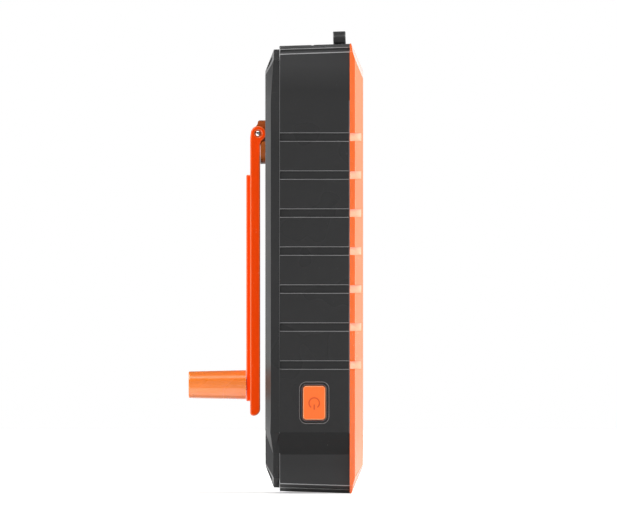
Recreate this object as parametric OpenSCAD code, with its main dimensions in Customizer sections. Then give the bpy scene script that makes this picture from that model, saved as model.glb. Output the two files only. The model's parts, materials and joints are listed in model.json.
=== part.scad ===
// Solar power bank with a folding hand crank.
// The solar face looks along -Y, the crank face along +Y, and the power button is on the -X side.
// The origin is on the base face, midway between the sides and between the front and the back.

/* [Housing] */
// Width across the two sides
body_w = 80; // [78:1:86]
// Height of the housing, midway between the front and the back
body_h = 159.2; // [158:0.2:170]
// Depth from the solar face to the crank face
body_d = 34.8; // [34.8:0.2:40]
// Lean of each end towards the back cover, in degrees
end_draft = 1.8; // [0.6:0.1:2.4]
// Depth of the front frame
frame_d = 4.8; // [4.8:0.1:6]
// Depth of the back cover
cover_d = 5; // [4.8:0.1:5.6]
// Wall of the middle shell
wall = 2.4; // [2.2:0.1:2.8]
// Thickness of the back cover's face
cover_face_t = 2; // [1.8:0.1:2.2]
// Thickness of the deck that closes the middle shell towards the solar panel
deck_t = 1.5; // [1.2:0.1:1.8]

/* [Side shape] */
// Height of the stepped-in boot at the bottom of the sides
boot_h = 13.8; // [12:0.2:16]
// Height at which the shoulder above the boot reaches the full width
shoulder_h = 21.2; // [20:0.2:23]
// How far the boot stands inside the full width, on each side
boot_step = 3.1; // [2:0.1:3.6]
// Height at which the lower bevel of the back cover starts to widen
ridge_h = 27.2; // [25:0.2:30]
// Width of the back cover's side bevel, across the part
bevel_w = 6; // [5:0.1:7]
// Depth of the back cover's side bevel
bevel_d = 2; // [1.6:0.1:2.4]
// Width of the same bevel along the boot
boot_bevel_w = 4.4; // [4:0.1:5]
// Depth of the same bevel along the boot
boot_bevel_d = 2.8; // [2.4:0.1:3]
// Height of the crown, where the sides curve in towards the top
crown_h = 20; // [16:0.5:22]
// How far the crown curves in, on each side
crown_drop = 2.6; // [1.5:0.1:3]
// Number of cross grooves on each side
groove_count = 7; // [5:1:7]
// Height of the lowest groove above the base
groove_low = 45.3; // [44.6:0.1:48]
// Distance of the highest groove from the top
groove_drop = 32.9; // [30:0.1:36]
// Width of a groove
groove_w = 2.75; // [2:0.05:3.2]
// Depth of a groove
groove_depth = 1; // [0.6:0.1:1.2]

/* [Front frame and solar panel] */
// Width of the front frame's side bevel
front_bevel_w = 7; // [6:0.1:7.4]
// Depth of the front frame's side bevel
front_bevel_d = 2.9; // [2.4:0.1:3.2]
// Height of the front frame's sloped ends
front_slope_h = 9.6; // [8:0.1:10]
// Depth of the front frame's sloped ends
front_slope_d = 4.3; // [3.6:0.1:4.3]
// Width of the front frame beside the solar window
window_side = 12; // [11:0.5:15]
// Height of the front frame beyond the window, the mean of both ends
window_end = 19.6; // [18.6:0.2:24.6]
// Height of the window's middle above mid height
window_rise = 3; // [2:0.1:4]
// Thickness of the clear panel cover
glass_t = 1.2; // [1:0.1:1.4]
// Columns of solar cells
cell_cols = 2; // [1:1:3]
// Rows of solar cells
cell_rows = 6; // [4:1:8]

/* [Crank] */
// Radius of the crank hub
hub_r = 7.9; // [7.6:0.1:8.4]
// Distance of the hub's axis from the top
hub_drop = 34.4; // [33.2:0.2:35.2]
// Offset of the hinge pin from the hub's axis
pin_offset = 2.95; // [2.8:0.05:3]
// Distance of the hinge pin from the crank face
pin_rise = 2.55; // [2.5:0.05:2.7]
// Radius of the hinge pin
pin_r = 1.15; // [1:0.05:1.3]
// Radius of the arm's two ears
ear_r = 2.72; // [2.6:0.02:2.8]
// Width of the crank arm
arm_w = 12; // [11:0.2:13]
// Thickness of the crank arm
arm_t = 3.55; // [3.2:0.05:3.8]
// Height of the knob's axis above the base with the arm hanging down
knob_z = 38.1; // [37.6:0.1:39.6]
// Length of the arm beyond the knob's axis
arm_end = 11.05; // [9.65:0.1:11.25]
// Space between the bottom of the stowed knob's well and the deck under the solar panel
well_clear = 4.05; // [3.75:0.1:6.55]
// Radius of the knob at the arm
knob_root_r = 5.2; // [4.9:0.1:5.4]
// Radius of the knob at its free end
knob_tip_r = 4.75; // [4.5:0.05:4.9]

/* [Gears and generator] */
// Teeth on the gear that the crank drives
main_teeth = 40; // [38:1:40]
// Teeth on the small gears
pinion_teeth = 10; // [10:1:11]
// Teeth on the large gear of the idler
idler_teeth = 36; // [34:1:36]
// Pressure angle of the teeth, in degrees
pressure_angle = 25; // [24:0.5:26]

/* [Power button and ports] */
// Height of the power button's middle above the base
button_z = 31.9; // [31:0.1:34]
// Width of the power button, along the depth
button_w = 7.8; // [7:0.1:8.6]
// Height of the power button
button_h = 11.9; // [11:0.1:12.6]
// Travel of the power button
button_travel = 0.7; // [0.4:0.05:0.8]
// Width of the port cover
flap_w = 24.6; // [24:0.1:25.4]
// Depth of the port cover
flap_d = 9.6; // [9.2:0.1:10.2]
// Radius of the hole in the lanyard eyelet
eyelet_r = 1.6; // [1.2:0.1:1.8]

/* [Hidden] */
$fn = 64;

// One overrun for every cut, and the gaps of the fits
cut = 1;
run_gap = 0.05;
press_gap = 0.01;
thrust_gap = 0.1;
slack = 0.2;
free_gap = 0.35;
arc_steps = 10;

// Planes along the depth
front_y = -body_d / 2;
back_y = body_d / 2;
seam_front = front_y + frame_d;
seam_back = back_y - cover_d;
deck_y = seam_front + deck_t;
cover_in_y = back_y - cover_face_t;
half_w = body_w / 2;
hub_z = body_h - hub_drop;
far = body_h;

// Ends: bands between the sides and the end faces, each [in from the side, up from the end]
shell_bands = [[11, 0], [3.6, 1.3], [0, 2.7]];
cover_bands = [[11.5, 0], [0, 3.5]];
cover_inset = 1.2;
end_clear = wall + 0.4;
frame_bands = [[3.5, 0], [0, 3]];
band_reach = 20;
crown_steps = 5;
crown_bevel_d = 3.3;
shoulder_bevel_d = 1.8;
shoulder_bevel_w = 7;
crown_z = body_h - crown_h;

// Corner facets of the front frame and of the back cover
front_low_turn = 11;
front_high_turn = 6;
front_cut_tip = 17.2;
front_cut_rise = 5.7;
notch_share = 0.77;
back_cut_turn = 7.5;
back_cut_tip = 23.9;
back_slope_d = 3;
back_slope_h = 7.6;
back_cut_in = 2.6;

// Seal between the middle shell and the back cover
seal_t = 1;
seal_w = 0.9;

// Space inside the back cover
cover_in_w = half_w - bevel_w;
cover_boot_in_w = half_w - boot_step - bevel_w;
cover_in_end = 12.6;

// Screws at the four corners of the back cover
screw_in = 9.6;
screw_up = 6.5;
screw_head_r = 2.05;
screw_head_h = 1.5;
screw_r = 1.25;
screw_well_r = screw_head_r + 0.1;
screw_seat_y = seam_back + 1;
screw_len = 11;
screw_boss_r = 3.2;
drive_w = 0.5;
drive_depth = 0.8;
drive_share = 0.6;
screw_places = [for (sx = [-1, 1]) for (z = [screw_up, body_h - screw_up]) [sx * (half_w - screw_in), z]];

// Solar panel stack, from the window's lip back to the deck
window_w = body_w - 2 * window_side;
window_h = body_h - 2 * window_end;
lip_t = 1.4;
panel_edge = 2.2;
cell_t = 0.3;
board_t = 1.2;
glass_y = front_y + lip_t;
cell_y = glass_y + glass_t;
panel_board_y = cell_y + cell_t;
gasket_y = panel_board_y + board_t;
panel_z = body_h / 2 + window_rise;
cell_gap = 1;
cell_margin = 1.5;
gasket_w = 2.5;
window_round = 2;

// Charge indicator lights under the window
light_count = 4;
light_pitch = 6;
light_r = 1.1;
light_drop = 5.6;
light_z = panel_z - window_h / 2 - light_drop;
light_proud = 0.15;
led_side = 1.8;
led_t = 0.9;
led_board_t = 1;
led_board_edge = 2;
led_board_w = light_pitch * light_count + 2 * led_board_edge;
led_board_h = 5;
led_rise = 0.6;
led_y = deck_y + led_rise;
led_rib_w = 1.6;

// Stowing place of the crank on the back cover
well_gap = 1.3;
well_r = knob_root_r + well_gap;
stow_gap = 0.7;
pin_y = back_y + pin_rise;
pin_z = hub_z + pin_offset;
knob_reach = pin_z - knob_z;
arm_len = knob_reach + arm_end;
arm_inset = 0.64;
arm_in_y = pin_y - arm_inset;
arm_out_y = arm_in_y + arm_t;
spine_t = 1.39;
spine_w = 7;
spine_margin = 5.2;
spine_y = arm_out_y + spine_t;
spine_start = 14.7;
spine_end = arm_len - spine_margin;
stow_z = hub_z - pin_offset;
well_z = stow_z - knob_reach;
knob_y = spine_y + thrust_gap;
cup_wall = 1.2;
cup_floor_t = 1.4;
knob_len = 2 * pin_y - stow_gap - knob_y - deck_y - cup_floor_t - well_clear;
knob_end_y = knob_y + knob_len;
well_floor_y = 2 * pin_y - knob_end_y - stow_gap;
rut_w = spine_w + 2 * stow_gap;
rut_y = 2 * pin_y - spine_y - free_gap;
rut_wall = 1.4;
bed_w = arm_w + 2 * stow_gap;
bed_y = 2 * pin_y - arm_out_y - free_gap;
bed_low_z = stow_z - arm_len - stow_gap;

// Hub, its well in the back cover and its shaft
hub_floor_d = 1.8;
hub_floor_y = back_y - hub_floor_d;
hub_seat_y = hub_floor_y + slack;
hub_disc_t = 0.9;
hub_well_r = norm([arm_w / 2, pin_offset + ear_r]) + stow_gap;
hub_low_y = arm_in_y - thrust_gap;
hub_rise = 2.75;
hub_top_y = back_y + hub_rise;
tongue_w = 5.9;
fork_gap = 0.2;
fork_w = tongue_w + 2 * fork_gap;
fork_depth = 6.6;
tongue_round = 0.8;
tongue_fillet_r = 2;
barrel_r = ear_r - run_gap;
barrel_start = -20;
fillet_z = pin_z + sqrt(pow(barrel_r + tongue_fillet_r, 2) - pow(hub_top_y + tongue_fillet_r - pin_y, 2));
fillet_angle = atan2(fillet_z - pin_z, hub_top_y + tongue_fillet_r - pin_y);
barrel_end = fillet_angle;
fillet_r = 3;
blend_y = arm_in_y - fillet_r;
blend_z = pin_z - sqrt(pow(ear_r + fillet_r, 2) - pow(pin_y - blend_y, 2));
blend_angle = atan2(pin_z - blend_z, pin_y - blend_y);
block_round_r = fillet_r - free_gap;
block_round_end = 0.75 * blend_angle;
tip_in_r = 2.4;
tip_out_r = 1.1;
shaft_r = 3;
shaft_grip = 2.1;
shaft_top_y = hub_seat_y + shaft_grip;
bush_r = 4.5;
bush_boss_r = 7;
gear_t = 2.8;
gear_gap = 0.4;
boss_reach = 3.4;
boss_low_y = cover_in_y - boss_reach;
main_gear_y = boss_low_y - gear_gap - gear_t;
layer_step = 4.2;
idler_gear_y = main_gear_y - layer_step;
plate_t = 1.8;
plate_gap = 1.4;
flank_steps = 4;
plate_y = idler_gear_y - plate_gap - plate_t;
clip_t = 0.7;
clip_r = 4.4;
clip_gap_w = 2.4;

// Knob and the axle it turns on
axle_r = 2;
axle_head_r = 3.4;
axle_head_t = 1;
axle_neck_r = 1.6;
cap_t = 1.1;
knob_cup_d = 3.4;
knob_cup_r = 3.6;
knob_clip_t = 0.6;
knob_clip_r = 3.1;
knob_clip_y = knob_end_y - knob_cup_d + slack;

// Gear train: main gear, idler and generator pinion, sized to the room between the sides and
// to that above the hub
width_share = 0.02;
drop_share = 0.0233;
gear_module = min(half_w * width_share, hub_drop * drop_share);
main_r = gear_module * main_teeth / 2;
pinion_r = gear_module * pinion_teeth / 2;
idler_r = gear_module * idler_teeth / 2;
idler_angle = 0;
rotor_angle = 115;
addendum_share = 0.9;
dedendum_share = 1.2;
backlash = 0.1;
idler_reach = main_r + pinion_r;
rotor_reach = idler_r + pinion_r;
idler_x = idler_reach * cos(idler_angle);
idler_z = hub_z + idler_reach * sin(idler_angle);
rotor_x = idler_x + rotor_reach * cos(rotor_angle);
rotor_z = idler_z + rotor_reach * sin(rotor_angle);
idler_shaft_r = 1.5;
idler_boss_r = 3.5;
idler_skirt_r = 3;
rim_w = 2.4;
web_t = 1.4;
main_boss_r = 5;
main_boss_t = 0.8;

// Gear plate and its four posts
post_r = 2.4;
post_clear = 3;
post_in = 7.5;
post_left_x = -main_r - post_clear;
post_right_x = half_w - post_in;
post_drop = 15;
post_lift = 15.5;
post_low_z = hub_z - post_drop;
post_high_z = hub_z + post_lift;
post_left_lift = 10;
post_left_z = hub_z + post_left_lift;
plate_edge = 2.7;
plate_screw_r = 1;
plate_head_r = 1.9;
plate_head_h = 1.2;
plate_screw_len = 7;
post_places = [[post_left_x, post_low_z], [post_left_x, post_left_z], [post_right_x, post_low_z],
  [post_right_x, post_high_z]];
ear_plate_w = 25;
ear_plate_h = 7;

// Generator
generator_share = 0.3;
generator_head = 5.6;
generator_r = min(half_w * generator_share, body_h - generator_head - rotor_z);
can_wall = 1;
can_y = deck_y + slack;
lid_t = 1;
rotor_shaft_r = 1;
magnet_share = 0.55;
magnet_r = generator_r * magnet_share;
magnet_gap = 0.5;
magnet_in = 2;
core_r = generator_r - can_wall - press_gap;
core_in = 1.5;
core_y0 = can_y + core_in;
core_y1 = plate_y - core_in;
coil_count = 6;
coil_w = 3;
coil_h = 2.4;
rotor_pinion_t = 3.2;

// Batteries
cell_side = 7;
cell_w = body_w - 2 * cell_side;
cell_clear = 4.5;
battery_z = well_z + well_r + cup_wall + cell_clear;
plate_clear = 2.7;
cell_h = post_low_z - plate_edge - plate_clear - battery_z;
tape_t = 0.5;
battery_y = deck_y + tape_t;
foam_t = 3;
cell_d = (rut_y - rut_wall - foam_t - tape_t - battery_y) / 2;
foam_in = 6;
foam_w = cell_w - 2 * foam_in;
fold_h = 3;
fold_t = 2;

// Main board with the sockets
pcb_t = 1.6;
pcb_post_h = 1.7;
pcb_y = deck_y + pcb_post_h;
pcb_back_y = pcb_y + pcb_t;
pcb_in = 6;
pcb_left = pcb_in - half_w;
pcb_right = -1.8;
pcb_clear = 3;
pcb_low = battery_z + cell_h + pcb_clear;
pcb_drop = 10;
pcb_high = body_h - pcb_drop;
pcb_post_drop = 15;
pcb_post_r = 2.2;
pcb_screw_r = 1;
pcb_screw_head_r = 1.8;
pcb_screw_head_h = 1.1;
pcb_inset = 3;
usb_w = 14.5;
usb_d = 7;
usb_len = 17;
usb_wall = 0.4;
usb_side = 21.3;
usb_x = usb_side - half_w;
usb_y = pcb_back_y + usb_d / 2;
tongue_t = 1.9;
tongue_len = 15.4;
charge_w = 7.6;
charge_d = 2.8;
charge_len = 5.6;
charge_shift = 11.7;
charge_x = usb_x + charge_shift;
socket_drop = 3.4;
socket_top = body_h - socket_drop;

// Chips, each [place across, place up, width, height] as shares of the board, and the choke coil
chip_shares = [[0.2, 0.5, 0.22, 0.16], [0.5, 0.52, 0.16, 0.16], [0.2, 0.2, 0.14, 0.12]];
chip_t = 1.1;
coil_r = 4;
coil_t = 3;
coil_x = pcb_right - coil_r - slack;
coil_clear = 6.8;
coil_z = socket_top - usb_len - coil_r - coil_clear;

// Port cover in its recess on the top end, in the end's own tilted frame
flap_shift = 4.1;
flap_x = usb_x + flap_shift;
flap_t = 1.4;
flap_gap = 0.35;
flap_depth = flap_t + free_gap;
flap_hinge_r = flap_t / 2;
flap_hinge_y = usb_y + flap_d / 2 - flap_hinge_r;
flap_hinge_gap = 0.4;
flap_pin_r = 0.4;
flap_pin_over = 1;
plug_t = 0.6;
plug_gap = 0.6;
flap_tab_w = 6;
flap_tab_d = 1.2;
flap_tab_t = 0.6;

// Eyelet on the top end
lug_shift = 28.6;
lug_x = flap_x + lug_shift;
lug_w = 14;
lug_t = 4.5;
lug_in = 6.05;
lug_y = front_y + lug_in;
lug_h = 4.9;
lug_round = 3.6;
lug_foot = 1;
lug_root = 2;
lug_hole_up = 2.8;

// Power button, its recess and its switch
button_round = 1.1;
button_gap = 0.3;
rim_gap = 0.9;
rim_h_gap = 1;
rim_round = 2.3;
rim_depth = 0.6;
button_proud = 0.3;
flange_t = 1;
flange_over = 0.9;
flange_x = -half_w + wall + slack;
plunger_r = 1.7;
switch_side = 6;
switch_t = 3.4;
switch_x = flange_x + flange_t + button_travel + slack;
switch_board_t = 1.4;
switch_board_h = 19;
switch_board_d = 14;
board_rib_t = 1.6;
icon_r = 1.85;
icon_line_w = 0.5;
icon_depth = 0.25;
icon_gap_angle = 70;
icon_drop = 0.1;

// Shared helpers

// Extrudes an outline drawn across (x) and up (y) from y0 back to y1
module along_y(y0, y1) {
  translate([0, y1, 0]) rotate([90, 0, 0]) linear_extrude(y1 - y0) children();
}

// Extrudes an outline drawn in depth (x) and height (y) from x0 to x1
module along_x(x0, x1) {
  translate([x0, 0, 0]) rotate([90, 0, 90]) linear_extrude(x1 - x0) children();
}

// Round bar along the depth
module rod_y(x, z, r, y0, y1) {
  translate([x, y0, z]) rotate([-90, 0, 0]) cylinder(h = y1 - y0, r = r);
}

// Round bar across the part
module rod_x(y, z, r, x0, x1) {
  translate([x0, y, z]) rotate([0, 90, 0]) cylinder(h = x1 - x0, r = r);
}

// Box from its lowest to its highest corner
module block(low, high) {
  translate(low) cube(high - low);
}

// Everything beyond a plane through a point, on the side that its normal points to
module beyond(point, turn, tip) {
  translate(point) rotate([0, -tip, turn]) translate([0, -far, -far]) cube(2 * far);
}

// Outline with both halves given by the points of its right half, from the bottom up
function both_sides(right) =
  concat(right, [for (i = [len(right) - 1:-1:0]) [-right[i][0], right[i][1]]]);

// Points on an arc
function arc(cx, cy, r, a0, a1, steps = arc_steps) =
  [for (i = [0:steps]) let (a = a0 + (a1 - a0) * i / steps) [cx + r * cos(a), cy + r * sin(a)]];

// Rectangle with round corners, centred
module round_rect(w, h, r) {
  polygon(concat(
    arc(w / 2 - r, h / 2 - r, r, 0, 90), arc(r - w / 2, h / 2 - r, r, 90, 180),
    arc(r - w / 2, r - h / 2, r, 180, 270), arc(w / 2 - r, r - h / 2, r, 270, 360)));
}

// Housing envelope

// Section levels: height, half width, depth and width of the back bevel
side_levels = concat(
  [[-far / 2, half_w - boot_step, boot_bevel_d, boot_bevel_w],
   [boot_h, half_w - boot_step, boot_bevel_d, boot_bevel_w],
   [shoulder_h, half_w, shoulder_bevel_d, shoulder_bevel_w],
   [ridge_h, half_w, bevel_d, bevel_w]],
  [for (i = [0:crown_steps]) let (t = i / crown_steps)
    [crown_z + t * crown_h, half_w - crown_drop * t * t, bevel_d + (crown_bevel_d - bevel_d) * t, bevel_w]],
  [[body_h + crown_h, half_w - crown_drop * 2, crown_bevel_d, bevel_w]]
);

function section(level) =
  let (z = level[0], x = level[1], y = back_y - level[2], xb = level[1] - level[3])
  [[x, front_y - cut, z], [x, y, z], [xb, back_y, z], [-xb, back_y, z], [-x, y, z], [-x, front_y - cut, z]];

// Body of the black shells before the ends are cut
module side_form() {
  n = len(side_levels);
  k = 6;
  last = (n - 1) * k;
  polyhedron(
    points = [for (level = side_levels) for (p = section(level)) p],
    faces = concat(
      [[for (j = [k - 1:-1:0]) k - 1 - j]],
      [[for (j = [0:k - 1]) last + k - 1 - j]],
      [for (i = [0:n - 2]) for (j = [0:k - 1])
        let (a = i * k + j, b = i * k + (j + 1) % k, c = b + k, d = a + k)
        each (j < 3 ? [[a, d, c], [a, c, b]] : [[a, d, b], [b, d, c]])]),
    convexity = 6);
}

// Cross-section kept by one end: flat end face, bands at its corners, open above
module end_outline(bands, end_half_w) {
  low = bands[len(bands) - 2];
  high = bands[len(bands) - 1];
  polygon(both_sides(concat(
    [for (b = bands) [end_half_w - b[0], b[1]]],
    [[end_half_w + band_reach * (low[0] - high[0]), high[1] + band_reach * (high[1] - low[1])],
     [end_half_w + band_reach * (low[0] - high[0]), 2 * far]])));
}

// Space between the two tilted ends
module between_ends(bands, inset) {
  intersection() {
    rotate([end_draft, 0, 0]) translate([0, 0, inset]) along_y(-far, far)
      end_outline(bands, half_w - boot_step);
    translate([0, 0, body_h]) rotate([-end_draft, 0, 0]) translate([0, 0, -inset]) mirror([0, 0, 1])
      along_y(-far, far) end_outline(bands, half_w - crown_drop);
  }
}

// Height of the lower and of the upper end at a given depth
function end_low(y) = y * tan(end_draft);
function end_high(y) = body_h - y * tan(end_draft);

// Cavity outline of the middle shell, grown by a margin
function cavity_outline(grow) =
  let (boot_x = half_w - boot_step - wall + grow, main_x = half_w - wall + grow,
       crown_x = half_w - crown_drop - wall + grow, low = end_clear - grow, band = shell_bands[0][0],
       rise = shell_bands[2][1])
  both_sides([
    [boot_x - band, low], [boot_x, low + rise], [boot_x, boot_h], [main_x, shoulder_h],
    [main_x, crown_z], [crown_x, body_h - low - rise], [crown_x - band, body_h - low]]);

// Places its children at each groove, at both sides
module at_grooves() {
  pitch = (body_h - groove_drop - groove_low) / (groove_count - 1);
  for (side = [0, 1]) for (i = [0:groove_count - 1]) translate([0, 0, groove_low + i * pitch])
    mirror([side, 0, 0]) children();
}

// The side grooves of the middle shell
module side_grooves() {
  at_grooves() block([half_w - groove_depth, seam_front - cut, -groove_w / 2],
    [half_w + cut, seam_back - slack, groove_w / 2]);
}

// Notches of the front frame, which carry the grooves on and run out on the side bevel
module frame_notches() {
  run_out = front_bevel_w * notch_share;
  at_grooves() translate([0, 0, -groove_w / 2]) linear_extrude(groove_w) polygon([
    [half_w - groove_depth, seam_front + cut], [half_w - groove_depth, seam_front],
    [half_w - run_out, front_y + front_bevel_d * (1 - notch_share)],
    [half_w - run_out, front_y - cut], [half_w + cut, front_y - cut], [half_w + cut, seam_front + cut]]);
}

// Screw with a round head whose underside is at y and whose shank runs towards the front
module screw_y(x, y, z, shank_r, shank_len, head_r, head_h) {
  difference() {
    union() {
      rod_y(x, z, shank_r, y - shank_len, y);
      rod_y(x, z, head_r, y, y + head_h);
    }
    for (turn = [0, 90])
      translate([x, y + head_h, z]) rotate([0, turn, 0])
        block([-head_r * drive_share, -drive_depth, -drive_w / 2], [head_r * drive_share, cut, drive_w / 2]);
  }
}

// Front frame and solar panel

module front_frame() {
  low_slope = end_low(front_y);
  high_slope = end_high(front_y);
  color("orangered") difference() {
    intersection() {
      translate([0, 0, -far / 2]) linear_extrude(2 * far) polygon([
        [half_w, seam_front], [-half_w, seam_front], [-half_w, front_y + front_bevel_d],
        [front_bevel_w - half_w, front_y], [half_w - front_bevel_w, front_y],
        [half_w, front_y + front_bevel_d]]);
      along_x(-half_w - cut, half_w + cut) polygon([
        [seam_front + cut, end_low(front_y) - cut], [front_y + front_slope_d, end_low(front_y) - cut],
        [front_y + front_slope_d, low_slope], [front_y, low_slope + front_slope_h],
        [front_y - cut, low_slope + front_slope_h],
        [front_y - cut, high_slope - front_slope_h], [front_y, high_slope - front_slope_h],
        [front_y + front_slope_d, high_slope], [front_y + front_slope_d, high_slope + cut],
        [seam_front + cut, high_slope + cut]]);
      rotate([end_draft, 0, 0]) along_y(-far, far) end_outline(frame_bands, half_w);
      translate([0, 0, body_h]) rotate([-end_draft, 0, 0]) mirror([0, 0, 1]) along_y(-far, far)
        end_outline(frame_bands, half_w);
    }
    for (sx = [-1, 1]) {
      beyond([sx * half_w, front_y + front_bevel_d, low_slope + front_cut_rise],
        -90 + sx * front_low_turn, -front_cut_tip);
      beyond([sx * half_w, front_y + front_bevel_d, high_slope - front_cut_rise],
        -90 + sx * front_high_turn, front_cut_tip);
    }
    translate([0, 0, panel_z]) {
      along_y(front_y - cut, seam_front + cut) round_rect(window_w, window_h, window_round);
      block([-window_w / 2 - panel_edge, glass_y, -window_h / 2 - panel_edge],
        [window_w / 2 + panel_edge, seam_front + cut, window_h / 2 + panel_edge]);
    }
    for (i = [0:light_count - 1])
      rod_y((i - (light_count - 1) / 2) * light_pitch, light_z, light_r + press_gap, front_y - cut,
        seam_front + cut);
    frame_notches();
  }
}

// Flat piece of the panel stack
module panel_layer(y0, y1, margin) {
  block([-window_w / 2 - panel_edge + margin, y0, panel_z - window_h / 2 - panel_edge + margin],
    [window_w / 2 + panel_edge - margin, y1, panel_z + window_h / 2 + panel_edge - margin]);
}

module panel_cover() {
  color("lightblue", 0.4) panel_layer(glass_y, cell_y, slack / 2);
}

module solar_cells() {
  w = (window_w - 2 * cell_margin - (cell_cols - 1) * cell_gap) / cell_cols;
  h = (window_h - 2 * cell_margin - (cell_rows - 1) * cell_gap) / cell_rows;
  color("midnightblue") for (c = [0:cell_cols - 1]) for (r = [0:cell_rows - 1])
    translate([
      cell_margin - window_w / 2 + c * (w + cell_gap), cell_y,
      panel_z - window_h / 2 + cell_margin + r * (h + cell_gap)]) cube([w, cell_t, h]);
}

module panel_board() {
  color("darkslategray") panel_layer(panel_board_y, gasket_y, slack / 2);
}

module panel_gasket() {
  color("black") difference() {
    panel_layer(gasket_y, seam_front, slack / 2);
    translate([0, -cut, 0]) panel_layer(gasket_y, seam_front + 2 * cut, gasket_w);
  }
}

module indicator_lights() {
  color("white") for (i = [0:light_count - 1])
    rod_y((i - (light_count - 1) / 2) * light_pitch, light_z, light_r, front_y - light_proud, led_y);
}

module indicator_board() {
  board_y = led_y + led_t;
  color("seagreen") {
    block([-led_board_w / 2, board_y, light_z - led_board_h / 2],
      [led_board_w / 2, board_y + led_board_t, light_z + led_board_h / 2]);
    for (i = [0:light_count - 1]) translate([(i - (light_count - 1) / 2) * light_pitch, led_y, light_z])
      block([-led_side / 2, 0, -led_side / 2], [led_side / 2, led_t, led_side / 2]);
  }
}

// Middle shell

// Places of the four standoffs under the main board
pcb_places = [for (x = [pcb_left + pcb_inset, pcb_right - pcb_inset])
  for (z = [pcb_low + pcb_inset, pcb_high - pcb_post_drop]) [x, z]];

// Moves its children to the tilted top end
module on_top() {
  translate([0, 0, body_h]) rotate([-end_draft, 0, 0]) children();
}

module eyelet() {
  on_top() difference() {
    along_y(lug_y, lug_y + lug_t) translate([lug_x, 0]) polygon(concat(
      [[-lug_w / 2 - lug_foot, -lug_root], [lug_w / 2 + lug_foot, -lug_root], [lug_w / 2, 0]],
      arc(lug_w / 2 - lug_round, lug_h - lug_round, lug_round, 0, 90),
      arc(lug_round - lug_w / 2, lug_h - lug_round, lug_round, 90, 180),
      [[-lug_w / 2, 0]]));
    rod_y(lug_x, lug_hole_up, eyelet_r, lug_y - cut, lug_y + lug_t + cut);
  }
}

module mid_shell() {
  color("dimgray") difference() {
    union() {
      difference() {
        intersection() {
          side_form();
          between_ends(shell_bands, 0);
          block([-far, seam_front, -far], [far, seam_back, 2 * far]);
        }
        along_y(deck_y, seam_back + cut) polygon(cavity_outline(0));
        along_y(seam_back - seal_t, seam_back + cut) polygon(cavity_outline(seal_w));
        side_grooves();
      }
      for (p = screw_places) rod_y(p[0], p[1], screw_boss_r, deck_y - press_gap, seam_back - seal_t);
      for (p = pcb_places) rod_y(p[0], p[1], pcb_post_r, deck_y - press_gap, pcb_y);
      for (sx = [-1, 1])
        block([sx * (led_board_w / 2 - led_rib_w / 2) - led_rib_w / 2, deck_y - press_gap,
            light_z - led_board_h / 2],
          [sx * (led_board_w / 2 - led_rib_w / 2) + led_rib_w / 2, led_y + led_t, light_z + led_board_h / 2]);
      for (sz = [-1, 1]) translate([switch_x + switch_t, 0, button_z + sz * switch_board_h / 2])
        block([-board_rib_t, deck_y - press_gap, sz > 0 ? 0 : -board_rib_t],
          [switch_board_t + board_rib_t, switch_board_d / 2, sz > 0 ? board_rib_t : 0]);
      eyelet();
    }
    for (p = screw_places)
      rod_y(p[0], p[1], screw_r + press_gap, screw_seat_y - screw_len - cut, seam_back + cut);
    for (p = pcb_places) rod_y(p[0], p[1], pcb_screw_r + press_gap, deck_y - deck_t / 2, pcb_y + cut);
    for (i = [0:light_count - 1])
      rod_y((i - (light_count - 1) / 2) * light_pitch, light_z, light_r + press_gap, seam_front - cut, led_y);
    along_x(-half_w - cut, -half_w + rim_depth) translate([0, button_z])
      round_rect(button_w + 2 * rim_gap + 2 * button_gap, button_h + 2 * rim_h_gap + 2 * button_gap, rim_round);
    along_x(-half_w - cut, -half_w + 2 * wall) translate([0, button_z])
      round_rect(button_w + 2 * button_gap, button_h + 2 * button_gap, button_round + button_gap);
    on_top() {
      block([flap_x - flap_w / 2 - flap_gap, usb_y - flap_d / 2 - flap_gap, -flap_depth],
        [flap_x + flap_w / 2 + flap_gap, usb_y + flap_d / 2 + flap_hinge_gap, cut]);
      rod_x(flap_hinge_y, -flap_hinge_r, flap_pin_r, flap_x - flap_w / 2 - flap_gap - flap_pin_over,
        flap_x + flap_w / 2 + flap_gap + flap_pin_over);
      translate([flap_x - flap_tab_w / 2, usb_y - flap_d / 2 - flap_gap - flap_tab_d, -flap_tab_t - slack])
        cube([flap_tab_w, flap_tab_d + cut, flap_t]);
    }
    block([usb_x - usb_w / 2 + usb_wall, usb_y - usb_d / 2 + usb_wall, socket_top - cut],
      [usb_x + usb_w / 2 - usb_wall, usb_y + usb_d / 2 - usb_wall, body_h]);
    block([charge_x - charge_w / 2, usb_y - charge_d / 2, socket_top - cut],
      [charge_x + charge_w / 2, usb_y + charge_d / 2, body_h]);
  }
}

module case_seal() {
  color("black") difference() {
    along_y(seam_back - seal_t, seam_back) polygon(cavity_outline(seal_w));
    along_y(seam_back - seal_t - cut, seam_back + cut) polygon(cavity_outline(0));
  }
}

// Back cover

module cover_outer() {
  low = end_low(back_y) + cover_inset;
  high = end_high(back_y) - cover_inset;
  difference() {
    intersection() {
      side_form();
      between_ends(cover_bands, cover_inset);
      along_x(-half_w - cut, half_w + cut) polygon([
        [seam_back, -cut], [back_y - back_slope_d, -cut], [back_y - back_slope_d, low],
        [back_y, low + back_slope_h], [back_y + cut, low + back_slope_h],
        [back_y + cut, high - back_slope_h], [back_y, high - back_slope_h],
        [back_y - back_slope_d, high], [back_y - back_slope_d, body_h + cut], [seam_back, body_h + cut]]);
    }
    for (sx = [-1, 1]) {
      beyond([sx * (half_w - back_cut_in), back_y - back_slope_d, low + cover_bands[1][1]],
        90 - sx * back_cut_turn, -back_cut_tip);
      beyond([sx * (half_w - back_cut_in), back_y - back_slope_d, high - cover_bands[1][1]],
        90 - sx * back_cut_turn, back_cut_tip);
    }
  }
}

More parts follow.
